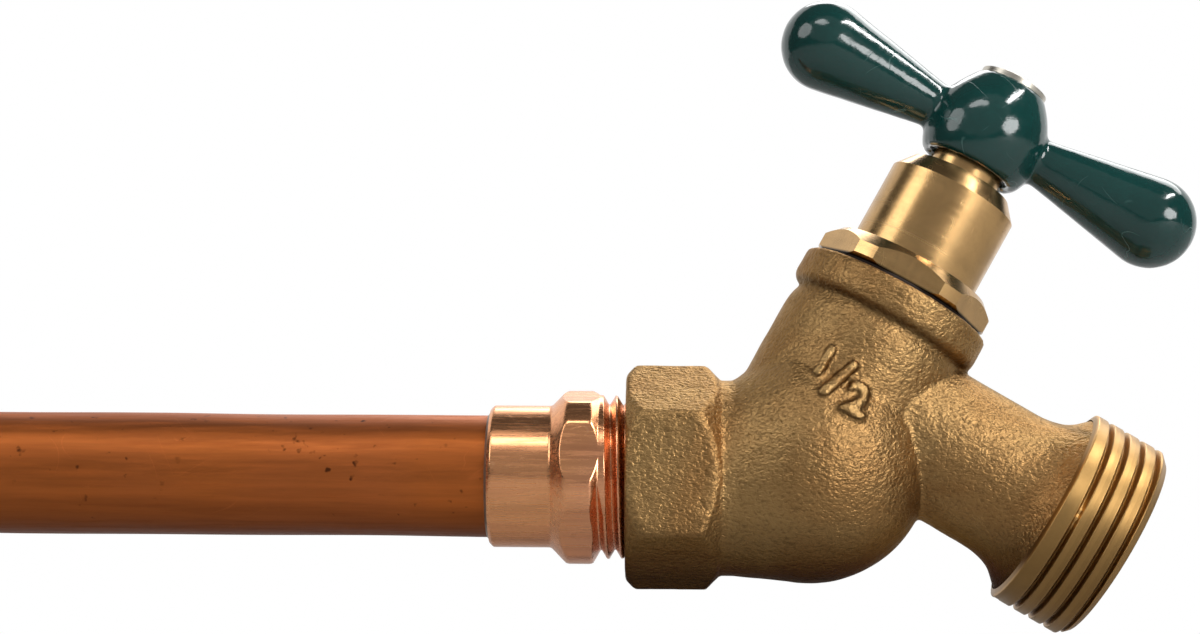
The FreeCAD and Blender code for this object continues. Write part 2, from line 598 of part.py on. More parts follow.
turned(valve_body, "inlet_bore", [
    ("0", "0"),
    ("taper_thread_radius + cut_margin", "0"),
    ("taper_bore", "taper_thread_depth"),
    ("taper_bore - (inlet_bore_depth - taper_thread_depth) * tan(taper_angle)",
     "inlet_bore_depth"),
    ("0", "inlet_bore_depth"),
], cut=True, **PIPE_LINE)
passage = circle(new_sketch(valve_body, "passage_section", "YZ_Plane",
                            ("0", "0", "inlet_bore_depth - cut_margin")),
                 "passage_radius", "0", "0 - passage_drop")
padded(valve_body, "passage", passage,
       "stem_foot + passage_reach - inlet_bore_depth + cut_margin", cut=True)
turned(valve_body, "orifice", [
    ("0", "seat_station - pocket_depth"),
    ("orifice_radius - pocket_round", "seat_station - pocket_depth", "pocket_round"),
    ("orifice_radius", "seat_station - pocket_depth + pocket_round"),
    ("orifice_radius", "seat_station"),
    ("0", "seat_station"),
], cut=True, **STEM_LINE)
turned(valve_body, "chamber", [
    ("0", "seat_station"),
    ("orifice_radius + seat_land", "seat_station"),
    ("orifice_radius + seat_land", "seat_station - seat_lip"),
    ("chamber_radius", "seat_station - seat_lip"),
    ("chamber_radius", "bonnet_foot - chamber_head"),
    ("bonnet_bore", "bonnet_foot - chamber_head"),
    ("bonnet_bore", "neck_station - bonnet_thread_depth - cut_margin"),
    ("bonnet_thread_radius + cut_margin", "neck_station"),
    ("0", "neck_station"),
], cut=True, **STEM_LINE)
turned(valve_body, "spout_bore", [
    ("0", "0"),
    ("spout_throat", "0"),
    ("spout_throat", "spout_throat_end"),
    ("spout_bore", "spout_throat_end"),
    ("spout_bore", "spout_length - edge_break"),
    ("spout_bore + edge_break", "spout_length"),
    ("0", "spout_length"),
], cut=True, **SPOUT_LINE)
threaded(valve_body, "inlet_thread",
         ridge_section("taper_thread_radius - inlet_groove_start * tan(taper_angle)", *TAPER,
                       "taper_thread_pitch", "inlet_groove_start", "thread_clearance"),
         "taper_thread_pitch", "inlet_bore_depth - inlet_groove_start",
         taper="0 - taper_angle", **PIPE_LINE)
BONNET_THREAD = ("bonnet_thread_depth", "bonnet_thread_gap", "bonnet_thread_root")
threaded(valve_body, "neck_thread",
         ridge_section("bonnet_thread_radius", *BONNET_THREAD, "bonnet_thread_pitch",
                       "bonnet_groove_start + bonnet_thread_pitch / 2", "thread_clearance"),
         "bonnet_thread_pitch", "bonnet_thread_length + 2 * bonnet_thread_pitch", **STEM_LINE)

# Bonnet: brass bar turned to a tower on a hexagon flange, bored for the stem and its seals.
bonnet = new_body("bonnet", "stem_place", STEM_TURN)
turned(bonnet, "turned_outside", [
    ("0", "bonnet_foot"),
    ("bonnet_thread_radius - bonnet_thread_depth", "bonnet_foot"),
    ("bonnet_thread_radius", "bonnet_foot + bonnet_thread_depth"),
    ("bonnet_thread_radius", "flange_station - bonnet_undercut"),
    ("bonnet_thread_radius - bonnet_thread_depth", "flange_station - bonnet_undercut"),
    ("bonnet_thread_radius - bonnet_thread_depth", "flange_station"),
    ("flange_radius - edge_break", "flange_station"),
    ("flange_radius", "flange_station + edge_break"),
    ("flange_radius", "flange_top - flange_chamfer"),
    ("flange_radius - flange_chamfer", "flange_top"),
    ("tower_radius", "flange_top"),
    ("tower_radius", "tower_top - tower_chamfer"),
    ("tower_radius - tower_chamfer_width", "tower_top"),
    ("0", "tower_top"),
])
milled_flats(bonnet, "milled_hexagon", "flange_flats", "flange_turn",
             "flange_station", "flange_height", "flange_radius + cut_reach")
threaded(bonnet, "neck_thread",
         groove_section("bonnet_thread_radius", *BONNET_THREAD, "bonnet_groove_start"),
         "bonnet_thread_pitch", "bonnet_thread_length")
turned(bonnet, "bore", [
    ("0", "bonnet_foot"),
    ("lead_bore + edge_break", "bonnet_foot"),
    ("lead_bore", "bonnet_foot + edge_break"),
    ("lead_bore", "lead_room - lead_relief"),
    ("lead_radius + lead_clearance", "lead_room - lead_relief"),
    ("lead_radius + lead_clearance", "lead_room"),
    ("seal_bore", "lead_room"),
    ("seal_bore", "roof_station"),
    ("stem_neck + running_clearance", "roof_station"),
    ("stem_neck + running_clearance", "tower_top"),
    ("0", "tower_top"),
], cut=True)
LEAD = ("lead_depth", "lead_gap", "lead_root")
threaded(bonnet, "lead_thread",
         ridge_section("lead_radius", *LEAD, "lead_pitch", "lead_ridge_start", "lead_clearance"),
         "lead_pitch", "lead_room - lead_ridge_start - lead_pitch / 2")

bonnet_gasket = new_body("bonnet_gasket", "stem_place", STEM_TURN)
turned(bonnet_gasket, "ring", [
    ("bonnet_thread_radius + running_clearance", "neck_station"),
    ("gasket_radius", "neck_station"),
    ("gasket_radius", "flange_station"),
    ("bonnet_thread_radius + running_clearance", "flange_station"),
])

# Stem: lead thread at the foot, sealed land in the bonnet, square at the top for the handle.
stem = new_body("stem", "stem_place", STEM_TURN)
turned(stem, "turned_outside", [
    ("0", "stem_base"),
    ("lead_radius - lead_depth", "stem_base"),
    ("lead_radius", "stem_base + lead_depth"),
    ("lead_radius", "lead_top - lead_depth"),
    ("stem_waist", "lead_top"),
    ("stem_waist", "land_bottom"),
    ("land_radius", "land_bottom + edge_break"),
    ("land_radius", "land_top"),
    ("stem_neck", "land_top"),
    ("stem_neck", "stem_top - edge_break"),
    ("stem_neck - edge_break", "stem_top"),
    ("0", "stem_top"),
])
threaded(stem, "lead_thread", groove_section("lead_radius", *LEAD, "lead_groove_start"),
         "lead_pitch", "lead_top - lead_groove_start + lead_pitch / 2")
milled_square = new_sketch(stem, "square_outline", "XY_Plane", ("0", "0", "square_base"))
circle(milled_square, "stem_neck + cut_reach")
outline(milled_square, polygon_vertices("stem_square", "45", sides=4))
padded(stem, "square", milled_square, "stem_top - square_base", cut=True)
SEALS = ("lower", "upper")
for index, name in enumerate(SEALS):
    groove = f"first_seal + seal_spacing * {index}"
    turned(stem, f"{name}_seal_groove", [
        ("land_radius - seal_groove_depth", f"{groove} - seal_groove_width / 2"),
        ("land_radius + cut_margin", f"{groove} - seal_groove_width / 2"),
        ("land_radius + cut_margin", f"{groove} + seal_groove_width / 2"),
        ("land_radius - seal_groove_depth", f"{groove} + seal_groove_width / 2"),
    ], cut=True)
turned(stem, "holder_socket", [
    ("0", "stem_base"),
    ("holder_neck + running_clearance", "stem_base"),
    ("holder_neck + running_clearance", "head_base - running_clearance"),
    ("holder_head + running_clearance", "head_base - running_clearance"),
    ("holder_head + running_clearance", "head_top + running_clearance"),
    ("0", "head_top + running_clearance"),
], cut=True)
turned(stem, "screw_hole", [
    ("0", "screw_seat - handle_screw_length - drill_point"),
    ("small_screw_radius + running_clearance", "screw_seat - handle_screw_length - drill_point"),
    ("small_screw_radius + running_clearance", "stem_top"),
    ("0", "stem_top"),
], cut=True)

# Seals: rubber rings squeezed between their grooves and the bonnet's bore.
seal_rings = []
for index, name in enumerate(SEALS):
    station = f"(first_seal + seal_spacing * {index})"
    seal_ring = doc.addObject("Part::Torus", f"stem_seal_{name}")
    seal_ring.Label = f"stem_seal_{name}"
    seal_ring.Placement = Placement(Vector(0, 0, 0), Rotation(Vector(0, 1, 0), 1.0))
    groove_floor = "(land_radius - seal_groove_depth + seal_fit)"
    seal_edge = "(seal_bore - seal_fit)"
    seal_ring.setExpression("Radius1", formula(f"({seal_edge} + {groove_floor}) / 2"))
    seal_ring.setExpression("Radius2", formula(f"({seal_edge} - {groove_floor}) / 2"))
    seal_ring.setExpression("Placement.Base.x",
                            formula(f"stem_place + {station} * cos(stem_angle)"))
    seal_ring.setExpression("Placement.Base.z", formula(f"{station} * sin(stem_angle)"))
    seal_ring.setExpression("Placement.Rotation.Angle", formula(STEM_TURN))
    seal_rings.append(seal_ring)

# Washer holder: a brass cup that swivels on the stem's foot, so the washer lands without rubbing.
washer_holder = new_body("washer_holder", "stem_place", STEM_TURN)
turned(washer_holder, "turned_outside", [
    ("0", "holder_base"),
    ("seat_washer_radius + running_clearance", "holder_base"),
    ("seat_washer_radius + running_clearance", "holder_base - holder_rim"),
    ("holder_radius", "holder_base - holder_rim"),
    ("holder_radius", "holder_top - edge_break"),
    ("holder_radius - edge_break", "holder_top"),
    ("holder_neck", "holder_top"),
    ("holder_neck", "head_base"),
    ("holder_head", "head_base"),
    ("holder_head", "head_top"),
    ("0", "head_top"),
])
turned(washer_holder, "screw_hole", [
    ("0", "holder_base"),
    ("small_screw_radius", "holder_base"),
    ("small_screw_radius", "seat_station + washer_screw_length + cut_margin"),
    ("0", "seat_station + washer_screw_length + cut_margin"),
], cut=True)

seat_washer = new_body("seat_washer", "stem_place", STEM_TURN)
turned(seat_washer, "disc", [
    ("small_screw_radius + running_clearance", "seat_station"),
    ("seat_washer_radius - edge_break", "seat_station"),
    ("seat_washer_radius", "seat_station + edge_break"),
    ("seat_washer_radius", "holder_base"),
    ("small_screw_radius + running_clearance", "holder_base"),
])


def slotted(body, name, station, half_length, up):
    """Screwdriver slot across a head whose outer face is at the station."""
    sketch = new_sketch(body, name + "_outline", "XY_Plane", ("0", "0", station))
    outline(sketch, [
        (f"0 - ({half_length})", "0 - slot_width / 2"),
        (half_length, "0 - slot_width / 2"),
        (half_length, "slot_width / 2"),
        (f"0 - ({half_length})", "slot_width / 2"),
    ])
    return padded(body, name, sketch, "slot_depth", cut=True, reverse=up)


washer_screw = new_body("washer_screw", "stem_place", STEM_TURN)
turned(washer_screw, "turned_outside", [
    ("0", "seat_station - washer_screw_head_height"),
    ("washer_screw_head - edge_break", "seat_station - washer_screw_head_height"),
    ("washer_screw_head", "seat_station - washer_screw_head_height + edge_break"),
    ("washer_screw_head", "seat_station"),
    ("small_screw_radius", "seat_station"),
    ("small_screw_radius", "seat_station + washer_screw_length"),
    ("0", "seat_station + washer_screw_length"),
])
slotted(washer_screw, "slot", "seat_station - washer_screw_head_height",
        "washer_screw_head + cut_margin", False)


def handle_form(body, inset):
    """Tee handle: two tapered arms with round ends on one axis, and a rounded hub across them."""
    lean = "asin((arm_end_radius - arm_root_radius) / (arm_reach - arm_root_reach))"
    end = f"(arm_end_radius - {inset})"
    root = f"(arm_root_radius - {inset})"
    turned(body, "arms", [
        ("0", f"0 - arm_reach - {end}", f"{end}"),
        (f"{end} * cos({lean})", f"{end} * sin({lean}) - arm_reach"),
        (root, "0 - arm_root_reach"),
        (root, "arm_root_reach"),
        (f"{end} * cos({lean})", f"arm_reach - {end} * sin({lean})", f"{end}"),
        ("0", f"arm_reach + {end}"),
    ], shift=("0", "arm_station", "0"), turn="-90")
    turned(body, "hub", [
        ("0", f"hub_station + {inset}"),
        (f"hub_foot_radius - {inset}", f"hub_station + {inset}", "hub_lower_curve"),
        (f"hub_radius - {inset}", "hub_station + hub_wide_height", "hub_upper_curve"),
        (f"hub_top_radius - {inset} / 2", f"hub_top - {inset}"),
        ("0", f"hub_top - {inset}"),
    ])


# Cast core of the handle, broached to the stem's square, and the plastic dip that covers it.
handle_core = new_body("handle_core", "stem_place", STEM_TURN)
handle_form(handle_core, "coat_thickness")
turned(handle_core, "underside_recess", [
    ("0", "hub_station"),
    ("hub_recess_radius", "hub_station"),
    ("hub_recess_radius", "square_base"),
    ("0", "square_base"),
], cut=True)
broach = outline(new_sketch(handle_core, "broach_outline", "XY_Plane", ("0", "0", "square_base")),
                 polygon_vertices("stem_square + 2 * running_clearance", "45", sides=4))
padded(handle_core, "broach", broach, "hub_height", cut=True)

coat_form = new_body("coat_form", "stem_place", STEM_TURN)
handle_form(coat_form, "0")
hidden_core = new_body("coat_inside", "stem_place", STEM_TURN)
handle_form(hidden_core, "coat_thickness")
turned(hidden_core, "underside_opening", [
    ("0", "hub_station - cut_margin"),
    ("hub_recess_radius", "hub_station - cut_margin"),
    ("hub_recess_radius", "arm_station"),
    ("0", "arm_station"),
])
turned(hidden_core, "top_opening", [
    ("0", "arm_station"),
    ("handle_screw_head + handle_screw_fit", "arm_station"),
    ("handle_screw_head + handle_screw_fit", "hub_top + cut_margin"),
    ("0", "hub_top + cut_margin"),
])
handle_coat = doc.addObject("Part::Cut", "handle_coat")
handle_coat.Label = "handle_coat"
handle_coat.Base = coat_form
handle_coat.Tool = hidden_core

# Spring washer, split once, and the slotted screw that holds the handle on the stem.
lock_washer = new_body("lock_washer", "stem_place", STEM_TURN)
turned(lock_washer, "ring", [
    ("small_screw_radius + lock_washer_fit", "core_top"),
    ("lock_washer_radius", "core_top"),
    ("lock_washer_radius", "screw_seat"),
    ("small_screw_radius + lock_washer_fit", "screw_seat"),
])
split = outline(new_sketch(lock_washer, "split_outline", "XY_Plane", ("0", "0", "core_top")), [
    ("0", "0 - lock_washer_gap / 2"),
    ("lock_washer_radius + cut_margin", "0 - lock_washer_gap / 2"),
    ("lock_washer_radius + cut_margin", "lock_washer_gap / 2"),
    ("0", "lock_washer_gap / 2"),
])
padded(lock_washer, "split", split, "lock_washer_thickness", cut=True)

handle_screw = new_body("handle_screw", "stem_place", STEM_TURN)
turned(handle_screw, "turned_outside", [
    ("0", "screw_seat - handle_screw_length"),
    ("small_screw_radius - edge_break", "screw_seat - handle_screw_length"),
    ("small_screw_radius", "screw_seat - handle_screw_length + edge_break"),
    ("small_screw_radius", "screw_seat"),
    ("handle_screw_head", "screw_seat"),
    ("handle_screw_head", "screw_seat + handle_screw_edge", "dome_curve"),
    ("0", "screw_seat + handle_screw_head_height"),
])
slotted(handle_screw, "slot", "screw_seat + handle_screw_head_height",
        "handle_screw_head + cut_margin", True)

SUBPARTS = [supply_pipe, solder_joint, copper_adapter, valve_body, bonnet, bonnet_gasket, stem,
            *seal_rings, washer_holder, seat_washer, washer_screw, handle_core, handle_coat,
            lock_washer, handle_screw]

doc.recompute()
for item in doc.Objects:
    if {"Invalid", "Error"} & set(item.State):
        raise RuntimeError(f"{item.Name} failed: {item.State}")
for subpart in SUBPARTS:
    shape = subpart.Shape
    if shape.isNull() or not shape.isValid() or not shape.Solids:
        raise RuntimeError(f"{subpart.Label} has no valid solid")
for subpart in SUBPARTS:
    subpart.Shape.exportStep(f"parts/{subpart.Label}.step")
    print(subpart.Label, len(subpart.Shape.Solids), round(subpart.Shape.Volume, 2))
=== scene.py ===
import json
import math

import bpy
import numpy as np
from bpy.props import FloatProperty, FloatVectorProperty, IntProperty, PointerProperty
from mathutils import Euler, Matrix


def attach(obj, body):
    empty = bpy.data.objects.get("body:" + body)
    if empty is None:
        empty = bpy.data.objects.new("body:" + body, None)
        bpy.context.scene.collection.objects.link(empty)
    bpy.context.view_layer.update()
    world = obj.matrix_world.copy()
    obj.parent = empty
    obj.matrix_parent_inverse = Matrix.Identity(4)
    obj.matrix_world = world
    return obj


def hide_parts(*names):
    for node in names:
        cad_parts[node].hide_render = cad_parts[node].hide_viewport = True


bl_info = {
    "name": "Hose bibb",
    "version": (1, 0, 0),
    "blender": (4, 5, 0),
    "location": "3D View > Sidebar > Hose bibb",
    "description": "Builds the looks of a brass hose bibb around its packed model",
    "category": "Object",
}

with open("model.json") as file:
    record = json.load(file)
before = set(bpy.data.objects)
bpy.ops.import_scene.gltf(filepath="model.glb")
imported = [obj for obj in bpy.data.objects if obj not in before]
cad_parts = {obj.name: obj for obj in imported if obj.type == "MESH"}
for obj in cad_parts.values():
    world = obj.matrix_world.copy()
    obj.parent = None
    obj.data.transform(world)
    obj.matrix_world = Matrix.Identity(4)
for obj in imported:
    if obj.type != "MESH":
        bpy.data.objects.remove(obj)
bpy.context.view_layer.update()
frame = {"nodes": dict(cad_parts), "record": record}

# Places of the three axes in the part's frame, in metres. The valve's inlet face is at INLET_FACE
# on the supply pipe's axis. The stem rises at STEM_ANGLE and the spout falls at SPOUT_ANGLE.
MM = 0.001
INLET_FACE = 85.0 * MM
STEM_ANGLE = math.radians(60.9)
SPOUT_ANGLE = math.radians(30.0)
STEM_FOOT = 21.8 * MM
SPOUT_STATION = 13.2 * MM
X_AXIS = np.array([1.0, 0.0, 0.0])
Y_AXIS = np.array([0.0, 1.0, 0.0])
STEM = np.array([math.cos(STEM_ANGLE), 0.0, math.sin(STEM_ANGLE)])
ARM = np.array([math.sin(STEM_ANGLE), 0.0, -math.cos(STEM_ANGLE)])
SPOUT = np.array([math.cos(SPOUT_ANGLE), 0.0, -math.sin(SPOUT_ANGLE)])
INLET_START = INLET_FACE * X_AXIS
STEM_START = (INLET_FACE + STEM_FOOT) * X_AXIS
SPOUT_START = STEM_START + SPOUT_STATION * STEM

# Stations along the stem's or the spout's own axis. Those for outline() are in millimetres.
COLLAR_FOOT = 22.6 * MM
NECK_TOP = 27.3
THREAD_BASE = 29.25
SPOUT_END = 39.8

# The globe, its centre past the inlet face and above the pipe's axis, and the part of its left
# side that blends into the shank.
GLOBE_RADIUS = 15.8 * MM
GLOBE_STATION = 23.5 * MM
GLOBE_RISE = 2.3 * MM
GLOBE_CENTRE = INLET_START + np.array([GLOBE_STATION, 0.0, GLOBE_RISE])
GLOBE_BLEND = 2.6 * MM

# The raised size mark: its middle across and up the neck, and each figure with its shift from
# there and its size.
NECK_RADIUS = 12.25 * MM
MARK_PLACE = (-1.4 * MM, 12.4 * MM)
MARK_FIGURES = (("1", -2.80 * MM, 1.30 * MM, 5.6 * MM), ("/", -0.1 * MM, 0.0, 7.6 * MM),
                ("2", 2.75 * MM, -1.15 * MM, 5.8 * MM))


def colour(name, description, default):
    return FloatVectorProperty(name=name, description=description, default=default,
                               subtype="COLOR", size=3, min=0.0, max=1.0)


def length(name, description, millimetres):
    return FloatProperty(name=name, description=description, default=millimetres * MM,
                         unit="LENGTH", subtype="DISTANCE", precision=5)


class BIBB_PG_casting(bpy.types.PropertyGroup):
    """Sizes and colours of the brass casting."""
    brass: colour("Brass", "Colour of the sand-cast brass", (0.37, 0.225, 0.088))
    tarnish: colour("Tarnish", "Colour of the brass where it has dulled", (0.270, 0.130, 0.042))
    voxel: length("Voxel", "Mesh size of the casting", 0.36)
    waviness: length("Waviness", "Height of the casting's gentle unevenness", 0.14)
    grain: length("Grain", "Size of the sand grain", 0.42)
    soften: IntProperty(name="Softening", description="Rounding of the casting's edges", default=3,
                        min=0, max=20)


class BIBB_PG_metal(bpy.types.PropertyGroup):
    """Colours of the turned brass, the copper and the screws."""
    turned_brass: colour("Turned brass", "Colour of the machined brass", (0.61, 0.375, 0.158))
    bright_copper: colour("Bright copper", "Colour of the adapter", (0.86, 0.41, 0.245))
    aged_copper: colour("Aged copper", "Colour of the supply pipe", (0.50, 0.142, 0.042))
    copper_oxide: colour("Copper oxide", "Colour of the pipe's dark streaks",
                         (0.230, 0.066, 0.022))


class BIBB_PG_handle(bpy.types.PropertyGroup):
    """Sizes and colours of the dipped handle."""
    green: colour("Green", "Colour of the handle's coating", (0.004, 0.042, 0.037))
    voxel: length("Voxel", "Mesh size of the coating", 0.36)
    soften: IntProperty(name="Softening", description="Rounding of the coating's joints",
                        default=9, min=0, max=40)


class BIBB_PG_stage(bpy.types.PropertyGroup):
    """Light and floor."""
    ambient: FloatProperty(name="Ambient", description="Brightness of the room", default=0.09,
                           min=0.0, max=2.0)
    key: FloatProperty(name="Key light", description="Power of the key lamp", default=9.0,
                       unit="POWER", min=0.0)
    floor: colour("Floor", "Colour of the floor", (0.45, 0.45, 0.445))


# Node trees


def put(tree, kind, inputs=None, **settings):
    """Add a node, set its settings, and give each named input a value or a link."""
    node = tree.nodes.new(kind)
    for name, value in settings.items():
        setattr(node, name, value)
    for socket, value in (inputs or {}).items():
        if isinstance(value, bpy.types.NodeSocket):
            tree.links.new(value, node.inputs[socket])
        else:
            node.inputs[socket].default_value = value
    return node


def maths(tree, operation, first, second=0.0):
    return put(tree, "ShaderNodeMath", {0: first, 1: second}, operation=operation).outputs[0]


def mix(tree, factor, first, second):
    """Mix two colours, given as sockets or as three numbers."""
    as_input = [value if isinstance(value, bpy.types.NodeSocket) else (*value, 1.0)
                for value in (first, second)]
    return put(tree, "ShaderNodeMix", {0: factor, 6: as_input[0], 7: as_input[1]},
               data_type="RGBA").outputs[2]


def ramp(tree, value, low, high, first=0.0, last=1.0):
    """Map value from low..high to first..last, held at both ends."""
    return put(tree, "ShaderNodeMapRange",
               {"Value": value, "From Min": low, "From Max": high, "To Min": first,
                "To Max": last}, clamp=True).outputs[0]


def noise(tree, vector, scale, detail=4.0, roughness=0.55, distortion=0.0):
    return put(tree, "ShaderNodeTexNoise",
               {"Vector": vector, "Scale": scale, "Detail": detail, "Roughness": roughness,
                "Distortion": distortion}).outputs["Fac"]


def placed(tree, origin, turn, scale=(1.0, 1.0, 1.0)):
    """Object coordinates moved to an origin and turned, so that a pattern follows an axis."""
    coordinates = put(tree, "ShaderNodeTexCoord").outputs["Object"]
    centred = put(tree, "ShaderNodeVectorMath", {0: coordinates, 1: tuple(origin)},
                  operation="SUBTRACT").outputs[0]
    turned = put(tree, "ShaderNodeVectorRotate", {"Vector": centred, "Angle": turn},
                 rotation_type="Y_AXIS").outputs[0]
    return put(tree, "ShaderNodeVectorMath", {0: turned, 1: scale},
               operation="MULTIPLY").outputs[0]


def effect(name, inputs, outputs):
    """Empty shader node group with named inputs and outputs."""
    group = bpy.data.node_groups.new(name, "ShaderNodeTree")
    for label, kind, default in inputs:
        socket = group.interface.new_socket(label, in_out="INPUT", socket_type=kind)
        if default is not None:
            socket.default_value = default
    for label, kind in outputs:
        group.interface.new_socket(label, in_out="OUTPUT", socket_type=kind)
    return group, group.nodes.new("NodeGroupInput"), group.nodes.new("NodeGroupOutput")


VECTOR = "NodeSocketVector"
FLOAT = "NodeSocketFloat"


def sand_grain():
    """Skin of a sand casting: close, slightly drawn-out grains over soft lumps."""
    group, given, out = effect("sand_grain", [("Vector", VECTOR, None), ("Grain", FLOAT, 1800.0)],
                               [("Height", FLOAT), ("Hollow", FLOAT)])
    drawn = put(group, "ShaderNodeVectorMath", {0: given.outputs["Vector"], 1: (0.75, 1.0, 1.15)},
                operation="MULTIPLY").outputs[0]
    grains = noise(group, drawn, given.outputs["Grain"], 2.0, 0.55, 0.35)
    lumps = noise(group, given.outputs["Vector"],
                  maths(group, "MULTIPLY", given.outputs["Grain"], 0.30), 2.0, 0.5)
    height = maths(group, "ADD", grains, maths(group, "MULTIPLY", lumps, 0.9))
    group.links.new(height, out.inputs["Height"])
    group.links.new(ramp(group, grains, 0.30, 0.50, 1.0, 0.0), out.inputs["Hollow"])
    return group


def lathe_marks():
    """Fine rings left by turning, along the vector's Z, broken up around it."""
    group, given, out = effect("lathe_marks", [("Vector", VECTOR, None), ("Pitch", FLOAT, 9000.0)],
                               [("Height", FLOAT), ("Sheen", FLOAT)])
    parts = put(group, "ShaderNodeSeparateXYZ", {0: given.outputs["Vector"]})
    flat = put(group, "ShaderNodeCombineXYZ",
               {0: maths(group, "MULTIPLY", parts.outputs[0], 0.02),
                1: maths(group, "MULTIPLY", parts.outputs[1], 0.02), 2: parts.outputs[2]})
    rings = noise(group, flat.outputs[0], given.outputs["Pitch"], 2.0, 0.7)
    bands = noise(group, flat.outputs[0], maths(group, "MULTIPLY", given.outputs["Pitch"], 0.12),
                  3.0, 0.6)
    group.links.new(rings, out.inputs["Height"])
    group.links.new(bands, out.inputs["Sheen"])
    return group


def scratches():
    """Thin scratches in two directions, as a mask."""
    group, given, out = effect("scratches", [("Vector", VECTOR, None), ("Scale", FLOAT, 300.0),
                                             ("Amount", FLOAT, 0.5)], [("Mask", FLOAT)])
    masks = []
    for turn in (0.6, 2.3):
        turned = put(group, "ShaderNodeVectorRotate",
                     {"Vector": given.outputs["Vector"], "Angle": turn, "Axis": (0.4, 1.0, 0.3)},
                     rotation_type="AXIS_ANGLE").outputs[0]
        drawn = put(group, "ShaderNodeVectorMath", {0: turned, 1: (0.07, 1.0, 1.0)},
                    operation="MULTIPLY").outputs[0]
        lines = noise(group, drawn, given.outputs["Scale"], 1.0, 0.4)
        near = maths(group, "ABSOLUTE", maths(group, "SUBTRACT", lines, 0.5))
        line = ramp(group, near, 0.0, 0.006, 1.0, 0.0)
        patch = noise(group, turned, maths(group, "MULTIPLY", given.outputs["Scale"], 0.5), 2.0)
        masks.append(maths(group, "MULTIPLY", line, ramp(group, patch, 0.56, 0.62)))
    both = maths(group, "MAXIMUM", *masks)
    group.links.new(maths(group, "MULTIPLY", both, given.outputs["Amount"]), out.inputs["Mask"])
    return group


def patches():
    """Large soft patches and streaks of tarnish."""
    group, given, out = effect("patches", [("Vector", VECTOR, None), ("Scale", FLOAT, 60.0)],
                               [("Patch", FLOAT), ("Speckle", FLOAT)])
    broad = noise(group, given.outputs["Vector"], given.outputs["Scale"], 5.0, 0.6, 0.8)
    fine = noise(group, given.outputs["Vector"],
                 maths(group, "MULTIPLY", given.outputs["Scale"], 14.0), 4.0, 0.7)
    group.links.new(ramp(group, broad, 0.38, 0.64), out.inputs["Patch"])
    group.links.new(ramp(group, fine, 0.45, 0.70), out.inputs["Speckle"])
    return group


EFFECTS = {}


def use(tree, name, **inputs):
    """Place one of the shared effects in a material."""
    return put(tree, "ShaderNodeGroup", inputs, node_tree=EFFECTS[name])


def new_material(name, metallic, roughness):
    """Material with one Principled BSDF; metallic and roughness may be set again by a link."""
    material = bpy.data.materials.new(name)
    material.use_nodes = True
    tree = material.node_tree
    surface = tree.nodes["Principled BSDF"]
    surface.inputs["Metallic"].default_value = metallic
    surface.inputs["Roughness"].default_value = roughness
    return material, tree, surface


def bump(tree, surface, height, distance):
    """Bump of the given depth in metres under the surface's own normal."""
    node = put(tree, "ShaderNodeBump", {"Height": height, "Distance": distance,
                                        "Strength": 1.0})
    tree.links.new(node.outputs[0], surface.inputs["Normal"])


def mark_height(tree, where):
    """Height above the neck and the globe near the raised size mark, and zero away from it."""
    spot = (STEM_START + MARK_PLACE[1] * STEM + MARK_PLACE[0] * ARM - NECK_RADIUS * Y_AXIS)
    away, centre = (put(tree, "ShaderNodeVectorMath", {0: where, 1: tuple(place)},
                        operation="DISTANCE").outputs["Value"] for place in (spot, GLOBE_CENTRE))
    about = placed(tree, STEM_START, STEM_ANGLE - math.pi / 2, (1.0, 1.0, 0.0))
    radius = put(tree, "ShaderNodeVectorMath", {0: about}, operation="LENGTH").outputs["Value"]
    near = ramp(tree, away, 5.6 * MM, 6.2 * MM, 1.0, 0.0)
    height = maths(tree, "MINIMUM", maths(tree, "SUBTRACT", radius, NECK_RADIUS),
                   maths(tree, "SUBTRACT", centre, GLOBE_RADIUS))
    return maths(tree, "MULTIPLY", height, near)


